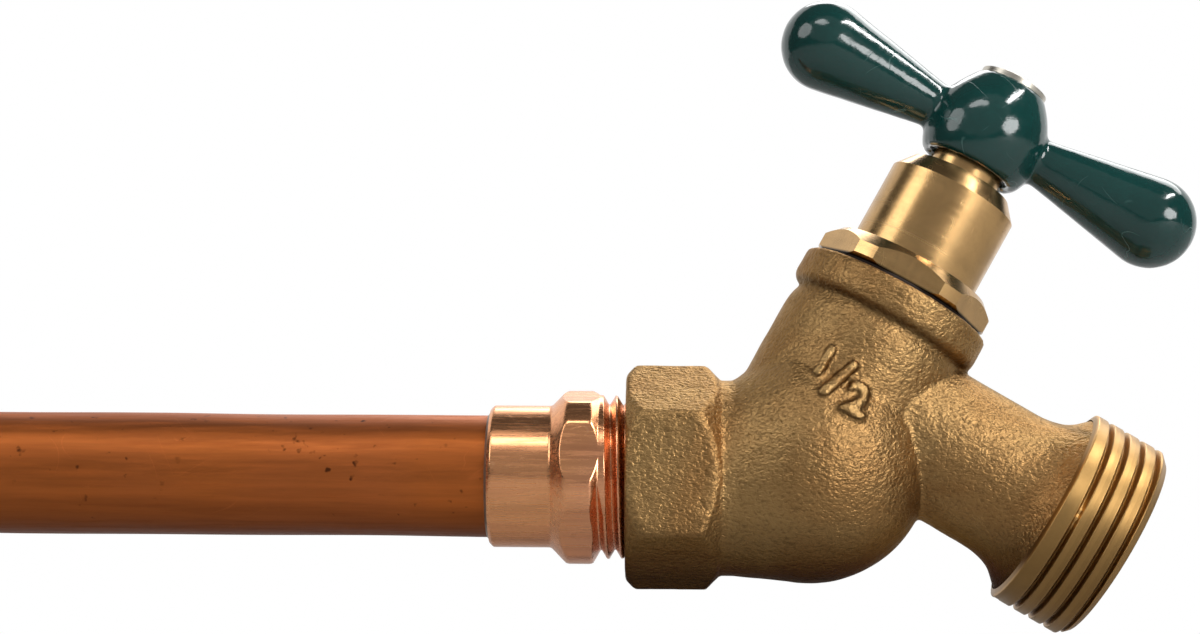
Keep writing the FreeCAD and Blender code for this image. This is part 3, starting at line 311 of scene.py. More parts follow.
def cast_brass(settings):
    """Sand-cast brass: close grain, dull gold with warmer tarnished patches, dark hollows, and
    painted shade in the groove under the collar, round the raised size mark's strokes and on the
    underside, where the specular tint is darker too; the mark's tops are brightened by wear."""
    material, tree, surface = new_material("cast_brass", 0.90, 0.40)
    where = put(tree, "ShaderNodeTexCoord").outputs["Object"]
    grain = use(tree, "sand_grain", Vector=where, Grain=1.0 / settings.grain)
    stains = use(tree, "patches", Vector=where, Scale=45.0)
    base = mix(tree, ramp(tree, stains.outputs["Patch"], 0.0, 1.0, 0.05, 0.75),
               settings.brass, settings.tarnish)
    base = mix(tree, maths(tree, "MULTIPLY", grain.outputs["Hollow"], 0.45), base,
               (0.085, 0.048, 0.018))
    # Painted shade: a dark band where the neck meets the collar's foot, standing in for the
    # collar's shadow.
    station = put(tree, "ShaderNodeSeparateXYZ",
                  {0: placed(tree, STEM_START, STEM_ANGLE - math.pi / 2)}).outputs[2]
    valley = maths(tree, "ABSOLUTE", maths(tree, "SUBTRACT", station, COLLAR_FOOT))
    base = mix(tree, ramp(tree, valley, 0.2 * MM, 0.9 * MM, 0.6, 0.0), base, (0.060, 0.034, 0.014))
    height = put(tree, "ShaderNodeSeparateXYZ", {0: where}).outputs[2]
    # Painted shade: the colour darkens towards the bottom, below -5 mm in height.
    base = mix(tree, ramp(tree, height, -13.0 * MM, -5.0 * MM, 0.90, 0.0), base,
               (0.060, 0.031, 0.012))
    proud = mark_height(tree, where)
    # Painted shade round the sides of the raised mark's strokes.
    walls = maths(tree, "MULTIPLY", ramp(tree, proud, 0.10 * MM, 0.30 * MM),
                  ramp(tree, proud, 0.45 * MM, 0.65 * MM, 1.0, 0.0))
    base = mix(tree, maths(tree, "MULTIPLY", walls, 0.75), base, (0.070, 0.038, 0.014))
    tops = maths(tree, "MULTIPLY", ramp(tree, proud, 0.45 * MM, 0.65 * MM),
                 ramp(tree, proud, 0.95 * MM, 1.10 * MM, 1.0, 0.0))
    base = mix(tree, maths(tree, "MULTIPLY", tops, 0.5), base, (0.50, 0.32, 0.13))
    tree.links.new(base, surface.inputs["Base Color"])
    # Painted shade: the specular tint darkens towards the bottom, dimming reflections there.
    edge = mix(tree, ramp(tree, height, -13.0 * MM, 3.0 * MM, 1.0, 0.0), (0.85, 0.74, 0.60),
               (0.26, 0.19, 0.13))
    tree.links.new(edge, surface.inputs["Specular Tint"])
    rough = ramp(tree, stains.outputs["Speckle"], 0.0, 1.0, 0.34, 0.48)
    tree.links.new(rough, surface.inputs["Roughness"])
    bump(tree, surface, grain.outputs["Height"], 0.00022)
    return material


def turned_brass(name, base_colour, origin, turn, roughness, pitch, painted_shade_station=None, underside=None):
    """Machined brass with lathe marks round the axis through origin, near-black painted shade
    below a station, painted highlight and bare metal where the mesh marks them, and an underside
    darkened towards a colour as painted shade."""
    material, tree, surface = new_material(name, 1.0, roughness)
    along = placed(tree, origin, turn)
    marks = use(tree, "lathe_marks", Vector=along, Pitch=pitch)
    stains = use(tree, "patches", Vector=along, Scale=160.0)
    lines = use(tree, "scratches", Vector=along, Scale=420.0, Amount=0.7)
    darker = tuple(0.62 * part for part in base_colour)
    base = mix(tree, ramp(tree, stains.outputs["Patch"], 0.0, 1.0, 0.0, 0.50), base_colour, darker)
    base = mix(tree, maths(tree, "MULTIPLY", stains.outputs["Speckle"], 0.12), base,
               tuple(0.40 * part for part in base_colour))
    # Painted highlight and bare metal: points marked in the mesh are brightened.
    highlight_and_bare_mask = put(tree, "ShaderNodeAttribute", attribute_name="highlight_and_bare_metal").outputs["Fac"]
    base = mix(tree, maths(tree, "MULTIPLY", highlight_and_bare_mask, 0.8), base,
               tuple(min(1.0, 1.9 * part) for part in base_colour))
    # Painted shade: the underside darkens towards a colour, with a ragged edge.
    if underside:
        where = put(tree, "ShaderNodeTexCoord").outputs["Object"]
        height = put(tree, "ShaderNodeSeparateXYZ", {0: where}).outputs[2]
        ragged = maths(tree, "MULTIPLY", stains.outputs["Patch"], 3.0 * MM)
        under = ramp(tree, maths(tree, "ADD", height, ragged), -14.0 * MM, 2.0 * MM, 0.50, 0.0)
        base = mix(tree, under, base, underside)
    # Painted shade: near-black below the station, at the bonnet's foot where it meets the neck.
    if painted_shade_station:
        station = put(tree, "ShaderNodeSeparateXYZ", {0: along}).outputs[2]
        base = mix(tree, ramp(tree, station, painted_shade_station, painted_shade_station + 0.3 * MM, 1.0, 0.0), base,
                   (0.012, 0.007, 0.004))
    tree.links.new(base, surface.inputs["Base Color"])
    rough = maths(tree, "ADD", ramp(tree, marks.outputs["Sheen"], 0.3, 0.7, roughness - 0.03,
                                    roughness + 0.05),
                  maths(tree, "MULTIPLY", lines.outputs["Mask"], 0.15))
    tree.links.new(rough, surface.inputs["Roughness"])
    height = maths(tree, "SUBTRACT", marks.outputs["Height"], lines.outputs["Mask"])
    bump(tree, surface, height, 0.000003)
    return material


def copper(name, base_colour, oxide, roughness, streaks, patch_amount, darkening_share):
    """Copper with streaks drawn along the pipe's axis. darkening_share is the share of the dark
    specks and of the painted shade on the underside."""
    material, tree, surface = new_material(name, 1.0, roughness)
    where = put(tree, "ShaderNodeTexCoord").outputs["Object"]
    drawn = put(tree, "ShaderNodeVectorMath", {0: where, 1: (0.06, 1.0, 1.0)},
                operation="MULTIPLY").outputs[0]
    lines = noise(tree, drawn, 900.0, 4.0, 0.65, 0.3)
    wide = noise(tree, drawn, 190.0, 4.0, 0.6, 0.4)
    stains = use(tree, "patches", Vector=drawn, Scale=110.0)
    nicks = use(tree, "scratches", Vector=where, Scale=260.0, Amount=0.35)
    place = put(tree, "ShaderNodeSeparateXYZ", {0: where})
    zones = maths(tree, "ADD", noise(tree, where, 22.0, 2.0, 0.5),
                  ramp(tree, place.outputs[0], 0.0, 60.0 * MM, 0.12, -0.06))
    base = mix(tree, ramp(tree, zones, 0.42, 0.60, 0.0, 0.7), base_colour,
               (1.18 * base_colour[0], 1.15 * base_colour[1], 0.75 * base_colour[2]))
    base = mix(tree, ramp(tree, wide, 0.36, 0.66, 0.0, streaks), base, oxide)
    base = mix(tree, ramp(tree, lines, 0.46, 0.66, 0.0, streaks * 0.6), base,
               tuple(0.55 * part for part in oxide))
    base = mix(tree, maths(tree, "MULTIPLY", stains.outputs["Patch"], patch_amount), base,
               tuple(0.8 * part for part in oxide))
    base = mix(tree, maths(tree, "MULTIPLY", nicks.outputs["Mask"], 0.6), base,
               tuple(min(1.0, 1.5 * part) for part in base_colour))
    specks = maths(tree, "MULTIPLY", ramp(tree, noise(tree, where, 620.0, 2.0), 0.66, 0.74),
                   ramp(tree, noise(tree, where, 60.0, 2.0), 0.48, 0.60))
    # Painted shade: darker towards the bottom, joined with the dark specks.
    under = ramp(tree, place.outputs[2], -8.2 * MM, -3.0 * MM, 0.8, 0.0)
    speck_and_shade_mask = maths(tree, "MULTIPLY", maths(tree, "MAXIMUM", specks, under), darkening_share)
    base = mix(tree, speck_and_shade_mask, base, tuple(0.35 * part for part in oxide))
    tree.links.new(base, surface.inputs["Base Color"])
    rough = ramp(tree, stains.outputs["Speckle"], 0.0, 1.0, roughness - 0.06, roughness + 0.12)
    tree.links.new(rough, surface.inputs["Roughness"])
    bump(tree, surface, maths(tree, "SUBTRACT", lines, nicks.outputs["Mask"]), 0.00002)
    return material


def green_dip(settings):
    """Glossy plastic dip with faint scratches and a little unevenness."""
    material, tree, surface = new_material("green_dip", 0.0, 0.16)
    where = put(tree, "ShaderNodeTexCoord").outputs["Object"]
    stains = use(tree, "patches", Vector=where, Scale=90.0)
    lines = use(tree, "scratches", Vector=where, Scale=240.0, Amount=0.6)
    base = mix(tree, maths(tree, "MULTIPLY", stains.outputs["Patch"], 0.4), settings.green,
               tuple(0.55 * part for part in settings.green))
    base = mix(tree, maths(tree, "MULTIPLY", lines.outputs["Mask"], 0.55), base,
               (0.16, 0.34, 0.31))
    tree.links.new(base, surface.inputs["Base Color"])
    rough = maths(tree, "ADD", ramp(tree, stains.outputs["Speckle"], 0.0, 1.0, 0.10, 0.20),
                  maths(tree, "MULTIPLY", lines.outputs["Mask"], 0.3))
    tree.links.new(rough, surface.inputs["Roughness"])
    surface.inputs["Coat Weight"].default_value = 0.20
    surface.inputs["Coat Roughness"].default_value = 0.06
    ripples = noise(tree, where, 420.0, 3.0, 0.5, 0.5)
    bump(tree, surface, maths(tree, "SUBTRACT", ripples, lines.outputs["Mask"]), 0.00005)
    return material


def plain_finish(name, base_colour, metallic, roughness, scale, depth):
    """Small hidden pieces: a colour broken up by patches, and a fine bump."""
    material, tree, surface = new_material(name, metallic, roughness)
    where = put(tree, "ShaderNodeTexCoord").outputs["Object"]
    stains = use(tree, "patches", Vector=where, Scale=scale)
    base = mix(tree, ramp(tree, stains.outputs["Patch"], 0.0, 1.0, 0.0, 0.5), base_colour,
               tuple(0.6 * part for part in base_colour))
    tree.links.new(base, surface.inputs["Base Color"])
    rough = ramp(tree, stains.outputs["Speckle"], 0.0, 1.0, roughness - 0.05, roughness + 0.12)
    tree.links.new(rough, surface.inputs["Roughness"])
    bump(tree, surface, noise(tree, where, scale * 30.0, 3.0), depth)
    return material


# Surfaces


def ring_faces(rows, around):
    """Quads between the neighbouring rows of a grid whose rows are closed rings."""
    ring = np.arange(around)
    base = np.arange(rows - 1)[:, None] * around
    first, after = base + ring, base + (ring + 1) % around
    quads = np.stack([first, after, after + around, first + around], -1).reshape(-1, 4)
    return quads[:, ::-1].tolist()


def end_faces(rows, around):
    """Triangles from the first and the last ring of a grid to two points that follow the grid."""
    ring = np.arange(around)
    after = (ring + 1) % around
    last = (rows - 1) * around
    low, high = np.full(around, rows * around), np.full(around, rows * around + 1)
    return (np.stack([ring, after, low], 1).tolist()
            + np.stack([last + after, last + ring, high], 1).tolist())


def sleeve(origin, axis, stations, radii, closed=True):
    """Grid surface round an axis. stations is an array along the profile, and radii an array of
    profile by angle, or of profile alone: point = origin + station * axis + radius * (cos(angle)
    * side + sin(angle) * Y). With closed, each end row is drawn together in one point."""
    origin, axis = np.asarray(origin), np.asarray(axis)
    side = np.cross(Y_AXIS, axis)
    side = side / np.linalg.norm(side)
    radii = np.asarray(radii, float)
    if radii.ndim == 1:
        radii = np.repeat(radii[:, None], 96, 1)
    rows, around = radii.shape
    stations = np.broadcast_to(np.asarray(stations, float).reshape(rows, -1), radii.shape)
    angle = np.arange(around) * 2 * np.pi / around
    spokes = np.cos(angle)[:, None] * side + np.sin(angle)[:, None] * Y_AXIS
    points = origin + stations[..., None] * axis + radii[..., None] * spokes
    vertices = points.reshape(-1, 3)
    faces = ring_faces(rows, around)
    if closed:
        ends = [origin + stations[row].mean() * axis for row in (0, -1)]
        vertices = np.vstack([vertices, ends])
        faces += end_faces(rows, around)
    return vertices, faces


def joined(parts):
    """One list of vertices and faces from several."""
    vertices, faces, base = [], [], 0
    for points, polygons in parts:
        vertices.append(np.asarray(points))
        faces += [[index + base for index in polygon] for polygon in polygons]
        base += len(points)
    return np.vstack(vertices), faces


def new_piece(name, vertices, faces, material, body, highlight_and_bare_metal=None):
    """Mesh object at the origin that rides on a body. highlight_and_bare_metal is how much each
    point's colour is brightened, by painted highlight and bare metal.
    """
    mesh = bpy.data.meshes.new(name)
    mesh.from_pydata(np.asarray(vertices).tolist(), [], faces)
    mesh.update()
    mesh.shade_smooth()
    if highlight_and_bare_metal is not None:
        mesh.attributes.new("highlight_and_bare_metal", "FLOAT", "POINT").data.foreach_set("value", np.ravel(highlight_and_bare_metal))
    piece = bpy.data.objects.new(name, mesh)
    bpy.context.scene.collection.objects.link(piece)
    mesh.materials.append(material)
    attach(piece, body)
    return piece


def outline(corners, rounding, steps=6):
    """Profile through corners (station, radius) in millimetres. Each inner corner is replaced by a
    quadratic curve that leaves its two sides at the rounding distance."""
    corners = np.asarray(corners, float) * MM
    rounding = np.broadcast_to(np.asarray(rounding, float) * MM, len(corners))
    curve = np.linspace(0.0, 1.0, steps)[:, None]
    rows = [corners[:1]]
    for before, corner, after, size in zip(corners[:-2], corners[1:-1], corners[2:],
                                           rounding[1:-1]):
        back, ahead = before - corner, after - corner
        start = corner + back * min(0.5, size / np.linalg.norm(back))
        end = corner + ahead * min(0.5, size / np.linalg.norm(ahead))
        rows.append((1 - curve) ** 2 * start + 2 * curve * (1 - curve) * corner + curve ** 2 * end)
    rows.append(corners[-1:])
    profile = np.vstack(rows)
    return profile[:, 0], profile[:, 1]


def prism_radius(angle, facings, distances, ease):
    """Radius at an angle of a prism whose sides face the angles facings at distances from its
    axis: the smooth minimum of distance / cos(angle - facing), eased over the length ease."""
    towards = np.cos(angle[:, None] - np.asarray(facings))
    reach = np.where(towards > 0.2, np.asarray(distances) / np.maximum(towards, 0.2), 1.0)
    least = reach.min(-1)
    return least - ease * np.log(np.exp((least[:, None] - reach) / ease).sum(-1))


def remeshed(piece, voxel, soften):
    """Fuse a piece's overlapping closed forms in one skin, then round its edges."""
    fuse = piece.modifiers.new("fuse", "REMESH")
    fuse.mode = "VOXEL"
    fuse.voxel_size = voxel
    fuse.use_smooth_shade = True
    if soften:
        ease = piece.modifiers.new("ease", "SMOOTH")
        ease.factor = 0.5
        ease.iterations = soften


def uneven(piece, name, size, height):
    """Push the skin in and out by a soft cloud pattern."""
    pattern = bpy.data.textures.new(name, "CLOUDS")
    pattern.noise_scale = size
    pattern.noise_depth = 2
    push = piece.modifiers.new(name, "DISPLACE")
    push.texture = pattern
    push.texture_coords = "LOCAL"
    push.strength = height
    push.mid_level = 0.5


def settle(piece):
    """Keep the mesh that a piece's modifiers make, in place of the modifiers."""
    graph = bpy.context.evaluated_depsgraph_get()
    made = bpy.data.meshes.new_from_object(piece.evaluated_get(graph))
    piece.modifiers.clear()
    piece.data = made
    made.shade_smooth()


# Pieces


def globe_form():
    """Swell from the shank's circle to the globe and the globe's cap: rows of circles whose
    centres rise from the pipe's axis to the globe's centre while their radii grow."""
    around = 120
    shank_end, shank_radius = 12.0 * MM, 12.6 * MM
    swell_start = 13.9 * MM
    waist = math.sqrt(GLOBE_RADIUS ** 2 - GLOBE_BLEND ** 2)
    run = np.linspace(0.0, 1.0, 14)[:, None]
    swell = np.hstack([swell_start + run * (GLOBE_STATION - GLOBE_BLEND - swell_start),
                       run * GLOBE_RISE, shank_radius + run * (waist - shank_radius)])
    polar = np.linspace(math.asin(-GLOBE_BLEND / GLOBE_RADIUS), np.pi / 2, 40)[1:-1, None]
    cap = np.hstack([GLOBE_STATION + GLOBE_RADIUS * np.sin(polar), np.full_like(polar, GLOBE_RISE),
                     GLOBE_RADIUS * np.cos(polar)])
    rows = np.vstack([[[shank_end, 0.0, shank_radius]], swell, cap])
    station, rise, radius = rows[:, :1], rows[:, 1:2], rows[:, 2:]
    angle = np.arange(around) * 2 * np.pi / around
    points = np.stack([INLET_FACE + np.repeat(station, around, 1), radius * np.cos(angle),
                       rise + radius * np.sin(angle)], -1)
    ends = [points[0].mean(0), GLOBE_CENTRE + GLOBE_RADIUS * X_AXIS]
    faces = ring_faces(len(rows), around) + end_faces(len(rows), around)
    return np.vstack([points.reshape(-1, 3), ends]), faces


def inlet_form():
    """Hexagon with its upper and lower corners cut flat, inside the cones of its end chamfers."""
    stations = np.linspace(0.0, 11.8, 60) * MM
    angle = np.arange(360) * np.pi / 180
    facings = [*(np.arange(6) * np.pi / 3 + np.pi / 2), 0.0, np.pi]
    hexagon = prism_radius(angle, facings, [13.3 * MM] * 6 + [14.4 * MM] * 2, 0.03 * MM)
    cone = np.minimum(13.2 * MM + stations, 13.0 * MM + 11.8 * MM - stations)
    return sleeve(INLET_START, X_AXIS, stations, np.minimum(hexagon[None], cone[:, None]))


def neck_form():
    """Neck with its rounded collar, from inside the globe to the bonnet's gasket."""
    stations, radii = outline(
        [(2, 0.2), (2, 12.25), (NECK_TOP - 6.6, 12.25), (NECK_TOP - 4.8, 11.5),
         (NECK_TOP - 4.0, 12.97), (NECK_TOP - 0.3, 12.97), (NECK_TOP, 12.6), (NECK_TOP, 0.2)],
        [0, 0.5, 1.5, 0.4, 0.8, 0.2, 0.2, 0])
    return sleeve(STEM_START, STEM, stations, radii)


def spout_form():
    """Spout as a thick tube with a hollow flare, open towards the hose thread."""
    stations, radii = outline(
        [(6, 0.2), (6, 9.65), (26.4, 9.65), (29.6, 12.7), (30.6, 12.7), (30.6, 7.9), (10, 7.9),
         (10, 0.2)], [0, 0.5, 3.8, 0.4, 0.3, 0.2, 0.5, 0])
    return sleeve(SPOUT_START, SPOUT, stations, radii)


def size_figure(figure, size):
    """Vertices and faces of one thickened flat figure round the origin."""
    curve = bpy.data.curves.new("figure", "FONT")
    curve.body = figure
    curve.size = size
    curve.align_x = "CENTER"
    curve.align_y = "CENTER"
    curve.offset = 0.22 * MM
    curve.extrude = 1.2 * MM
    curve.resolution_u = 4
    text = bpy.data.objects.new("figure", curve)
    bpy.context.scene.collection.objects.link(text)
    graph = bpy.context.evaluated_depsgraph_get()
    mesh = bpy.data.meshes.new_from_object(text.evaluated_get(graph))
    flat = np.zeros(len(mesh.vertices) * 3)
    mesh.vertices.foreach_get("co", flat)
    faces = [list(polygon.vertices) for polygon in mesh.polygons]
    bpy.data.objects.remove(text)
    bpy.data.curves.remove(curve)
    bpy.data.meshes.remove(mesh)
    return flat.reshape(-1, 3), faces


def size_mark():
    """Raised pipe size: each figure is bent round the stem's axis, so that across / NECK_RADIUS is
    the angle, and lifted on the outer one of neck and globe. A ray from the stem's axis meets the
    globe at the larger root of its quadratic."""
    figures = []
    for figure, right, rise, size in MARK_FIGURES:
        points, faces = size_figure(figure, size)
        angle = (MARK_PLACE[0] + right + points[:, 0]) / NECK_RADIUS
        up = MARK_PLACE[1] + rise + points[:, 1]
        outward = np.sin(angle)[:, None] * ARM - np.cos(angle)[:, None] * Y_AXIS
        axis = STEM_START + up[:, None] * STEM
        away = axis - GLOBE_CENTRE
        along = (away * outward).sum(-1)
        inside = np.maximum(along ** 2 - (away ** 2).sum(-1) + GLOBE_RADIUS ** 2, 0.0)
        skin = np.maximum(NECK_RADIUS, np.sqrt(inside) - along)
        figures.append((axis + (skin + points[:, 2] - 0.45 * MM)[:, None] * outward, faces))
    return joined(figures)


def hose_thread_form():
    """Outside thread, end face and bore of the spout. Radius = root + (crest - root) * ridge,
    where ridge is a rounded trapezoid of the phase (station - groove_start) / pitch - angle /
    turn, full before the first groove, faded out at the flare and held under the end chamfer's
    cone. A torn burr, a bell curve both ways with a ragged sine, lies in the first groove.
    highlight_and_bare_metal is high on the flanks that face the valve and at the first crest's
    edge, as painted highlight, and on the burr, as bare torn metal."""
    pitch, root, crest = 2.209 * MM, 12.35 * MM, 13.46 * MM
    groove_start, before_grooves = 30.24 * MM, -0.42
    burr_angle, burr_height = math.radians(272.0), 0.95 * MM
    around = 200
    stations = np.linspace(THREAD_BASE, SPOUT_END, 160) * MM
    angle = np.arange(around) * 2 * np.pi / around
    phase = (stations[:, None] - groove_start) / pitch - angle[None] / (2 * np.pi)
    groove = np.abs(phase - np.round(phase)) * 2
    ridge = np.clip((groove - 0.04) / 0.37, 0.0, 1.0)
    ridge = ridge * ridge * (3 - 2 * ridge)
    started = np.clip((stations[:, None] - THREAD_BASE * MM) / (0.5 * MM), 0.0, 1.0)
    body = root + (crest - root) * np.where(phase < before_grooves, 1.0, ridge)
    radii = np.minimum(body, root + (crest - root) * started + 0.2 * MM)
    radii = np.minimum(radii, crest - 1.0 * MM + (SPOUT_END * MM - stations[:, None]))
    ends, inner = outline([(SPOUT_END, 12.5), (SPOUT_END, 7.1), (9.5, 7.1), (9.5, 8.1),
                           (THREAD_BASE, 8.1), (THREAD_BASE, 12.3)], [0, 0.45, 0.1, 0.1, 0.1, 0])
    inner = np.repeat(inner[1:, None], around, 1)
    all_stations = np.concatenate([stations, ends[1:]])
    past = (angle - burr_angle)[None]
    burr = np.exp(-(past / 0.14) ** 2 - (phase / 0.11) ** 2) * (0.7 + 0.3 * np.sin(past * 70.0))
    radii = radii + burr_height * burr
    # Painted highlight on the flanks that face the valve and at the first crest's edge; the burr
    # is bare bright metal.
    rising = phase > np.round(phase)
    highlight_and_bare_metal = np.where(rising, np.clip(1.0 - np.abs(ridge - 0.66) / 0.42, 0.0, 1.0),
                    0.5 * np.clip(1.0 - np.abs(ridge - 0.86) / 0.13, 0.0, 1.0))
    first_edge = np.clip(1.0 - np.abs(started - 0.7) / 0.3, 0.0, 1.0)
    highlight_and_bare_metal = np.where(phase < before_grooves, first_edge, highlight_and_bare_metal)
    highlight_and_bare_metal = np.maximum(highlight_and_bare_metal, np.clip(burr * 2.0, 0.0, 1.0))
    highlight_and_bare_metal = np.vstack([highlight_and_bare_metal, np.zeros_like(inner)])
    return (*sleeve(SPOUT_START, SPOUT, all_stations, np.vstack([radii, inner]), closed=False),
            highlight_and_bare_metal)


def arm_radius(run):
    """Radius of the handle's arms along their axis: a ball at each end, joined to the thin root by
    a straight taper."""
    reach, end, root, start = 24.0 * MM, 6.0 * MM, 2.75 * MM, 6.0 * MM
    lean = math.asin((end - root) / (reach - start))
    away = np.abs(run)
    tangent = reach - end * math.sin(lean)
    taper = root + (away - start) * (end * math.cos(lean) - root) / (tangent - start)
    ball = np.sqrt(np.maximum(end ** 2 - (away - reach) ** 2, 0.0))
    return np.where(away > tangent, ball, np.maximum(taper, root))


def handle_form():
    """Two arms on one axis and a rounded hub across them. The arms' rows lie closer together
    towards the tips, at arm_reach * sin(turn); the hub's side is a raised sine less a power."""
    arm_station, arm_reach = 51.9 * MM, 30.0 * MM
    half = np.linspace(0.0, 1.0, 120)[1:-1]
    run = arm_reach * np.sin((half * 2 - 1) * np.pi / 2)
    arms = sleeve(STEM_START + arm_station * STEM, ARM, run, arm_radius(run))
    hub_base, hub_height = 46.5, 12.5
    turn = np.linspace(0.0, 1.0, 30)
    side = hub_base + 0.5 + turn * (hub_height - 1.0)
    bulge = 6.9 + 1.15 * np.sin(np.pi * np.clip(turn / 1.08, 0, 1) ** 0.8) - 2.05 * turn ** 3.2
    profile = [(hub_base + 1.3, 0.2), (hub_base + 1.3, 5.4), (hub_base, 5.4), (hub_base, 6.6)]
    profile += list(zip(side, bulge))
    profile += [(hub_base + hub_height - 0.05, 4.7), (hub_base + hub_height - 0.05, 0.2)]
    stations, radii = np.array(profile).T * MM
    hub = sleeve(STEM_START, STEM, stations, radii)
    return joined([arms, hub])


def adapter_form():
    """Solder cup, hexagon and tapered thread. The radius is the smallest of three: the turned
    profile, the hexagon's flats before the thread, and the walls of a V groove whose centre moves
    one pitch per turn, floor + slope * (distance from its centre)."""
    pitch, depth, slope, lean = 1.814 * MM, 1.15 * MM, 1.70, math.tan(math.radians(1.79))
    stations, turned = outline(
        [(0, 8.7), (0.45, 9.16), (7.9, 9.16), (10.0, 11.3), (13.1, 11.3), (14.1, 10.6),
         (27.4, 10.19)], [0, 0.2, 0.3, 0.5, 0.25, 0.15, 0])
    rows = np.unique(np.round(np.concatenate(
        [stations / MM, np.arange(0.8, 7.4, 0.6), np.arange(7.6, 27.4, 0.1)]), 2)) * MM
    turned = np.interp(rows, stations, turned)[:, None]
    rows = rows[:, None]
    angle = np.arange(240) * 2 * np.pi / 240
    facings = np.radians(15.0 + 60.0 * np.arange(6))
    flats = prism_radius(angle, facings, [10.6 * MM] * 6, 0.02 * MM)[None]
    turns = (rows - 27.4 * MM) / pitch - (angle[None] - np.pi / 3) / (2 * np.pi)
    off = (turns - np.round(turns)) * pitch
    missing = 1.0 - np.clip((rows - off - 13.8 * MM) / (0.3 * MM), 0.0, 1.0)
    crest = 10.5 * MM + (17.5 * MM - rows) * lean
    groove = crest - depth + slope * np.maximum(np.abs(off) - 0.1 * MM, 0.0) + 3 * MM * missing
    radii = np.minimum(np.minimum(turned, groove), np.where(rows < 14.2 * MM, flats, 20 * MM))
    ends, inner = outline([(27.4, 9.0), (27.4, 6.7), (12.7, 6.7), (12.7, 8.03), (0, 8.03),
                           (0, 8.7)], [0, 0.2, 0.1, 0.1, 0.1, 0])
    inner = np.repeat(inner[1:, None], 240, 1)
    return sleeve([67.5 * MM, 0.0, 0.0], X_AXIS, np.concatenate([rows[:, 0], ends[1:]]),
                  np.vstack([radii, inner]), closed=False)


def pipe_form():
    """Drawn tube, slightly out of true, with its open bore: outside, mouth, inside and end."""
    stations = np.linspace(0.25, 80.0, 120) * MM
    angle = np.arange(128) * 2 * np.pi / 128
    wander = 0.05 * MM * (np.sin(stations[:, None] * 95 + 2 * angle)
                          + 0.6 * np.sin(stations[:, None] * 210 - 3 * angle))
    outer = np.minimum(7.93 * MM, 7.87 * MM + wander)
    ends, inner = outline([(80.2, 7.6), (80.2, 6.92), (0, 6.92), (0, 7.9)], [0, 0.1, 0.25, 0])
    inner = np.repeat(inner[1:, None], 128, 1)
    lip = np.full((1, 128), 7.7 * MM)
    all_stations = np.concatenate([stations, ends[1:], [0.0]])
    return sleeve(np.zeros(3), X_AXIS, all_stations, np.vstack([outer, inner, lip]), closed=False)


MATERIALS = {}


class BIBB_OT_materials(bpy.types.Operator):
    """Build the shared effects and the materials, and dress every node of the frame"""
    bl_idname = "bibb.materials"
    bl_label = "Materials"

    def execute(self, context):
        scene = context.scene
        for build in (sand_grain, lathe_marks, scratches, patches):
            EFFECTS[build.__name__] = build()
        metal = scene.bibb_metal
        tilt = STEM_ANGLE - math.pi / 2
        MATERIALS.update({
            "cast_brass": cast_brass(scene.bibb_casting),
            # The bonnet takes painted shade below NECK_TOP + 0.55 mm, at its foot.
            "machined_brass": turned_brass("machined_brass", tuple(metal.turned_brass),
                                           STEM_START, tilt, 0.23, 9000.0,
                                           (NECK_TOP + 0.55) * MM),
            # The hose thread's underside takes painted shade.
            "thread_brass": turned_brass("thread_brass", (0.40, 0.235, 0.082), SPOUT_START,
                                         -math.pi / 2 - SPOUT_ANGLE, 0.39, 7000.0,
                                         underside=(0.130, 0.066, 0.025)),
            "bright_copper": copper("bright_copper", tuple(metal.bright_copper),
                                    (0.58, 0.215, 0.120), 0.27, 0.30, 0.25, 0.25),
            "aged_copper": copper("aged_copper", tuple(metal.aged_copper),
                                  tuple(metal.copper_oxide), 0.50, 0.34, 0.35, 0.95),
            "green_coating": green_dip(scene.bibb_handle),
            "solder": plain_finish("solder", (0.34, 0.27, 0.22), 1.0, 0.40, 300.0, 0.00004),
            "cast_core": plain_finish("cast_core", (0.34, 0.34, 0.35), 0.9, 0.5, 200.0, 0.00006),
            "screw_steel": turned_brass("screw_steel", (0.62, 0.58, 0.50), STEM_START, tilt,
                                        0.28, 9000.0),
            "seal_rubber": plain_finish("seal_rubber", (0.025, 0.025, 0.026), 0.0, 0.6, 300.0,
                                        0.00002),
            "fibre_gasket": plain_finish("fibre_gasket", (0.025, 0.016, 0.012), 0.0, 0.8, 500.0,
                                         0.00005),
        })
        for entry in frame["record"]["subparts"]:
            node = frame["nodes"][entry["node"]]
            node.data.materials.clear()
            node.data.materials.append(MATERIALS[entry["material_slot"]])
        return {"FINISHED"}


class BIBB_OT_casting(bpy.types.Operator):
    """Build the cast valve body"""
    bl_idname = "bibb.casting"
    bl_label = "Cast body"

    def execute(self, context):
        settings = context.scene.bibb_casting
        vertices, faces = joined([inlet_form(), globe_form(), neck_form(), spout_form(),
                                  size_mark()])
        casting = new_piece("cast_body", vertices, faces, MATERIALS["cast_brass"], "valve")
        remeshed(casting, settings.voxel, settings.soften)
        uneven(casting, "cast_waves", 4.0 * MM, settings.waviness)
        settle(casting)
        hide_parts("valve_body")
        return {"FINISHED"}


class BIBB_OT_hose_thread(bpy.types.Operator):
    """Build the machined hose thread and the spout's bore"""
    bl_idname = "bibb.hose_thread"
    bl_label = "Hose thread"

    def execute(self, context):
        vertices, faces, highlight_and_bare_metal = hose_thread_form()
        thread = new_piece("hose_end", vertices, faces, MATERIALS["thread_brass"], "valve", highlight_and_bare_metal)
        return {"FINISHED"}


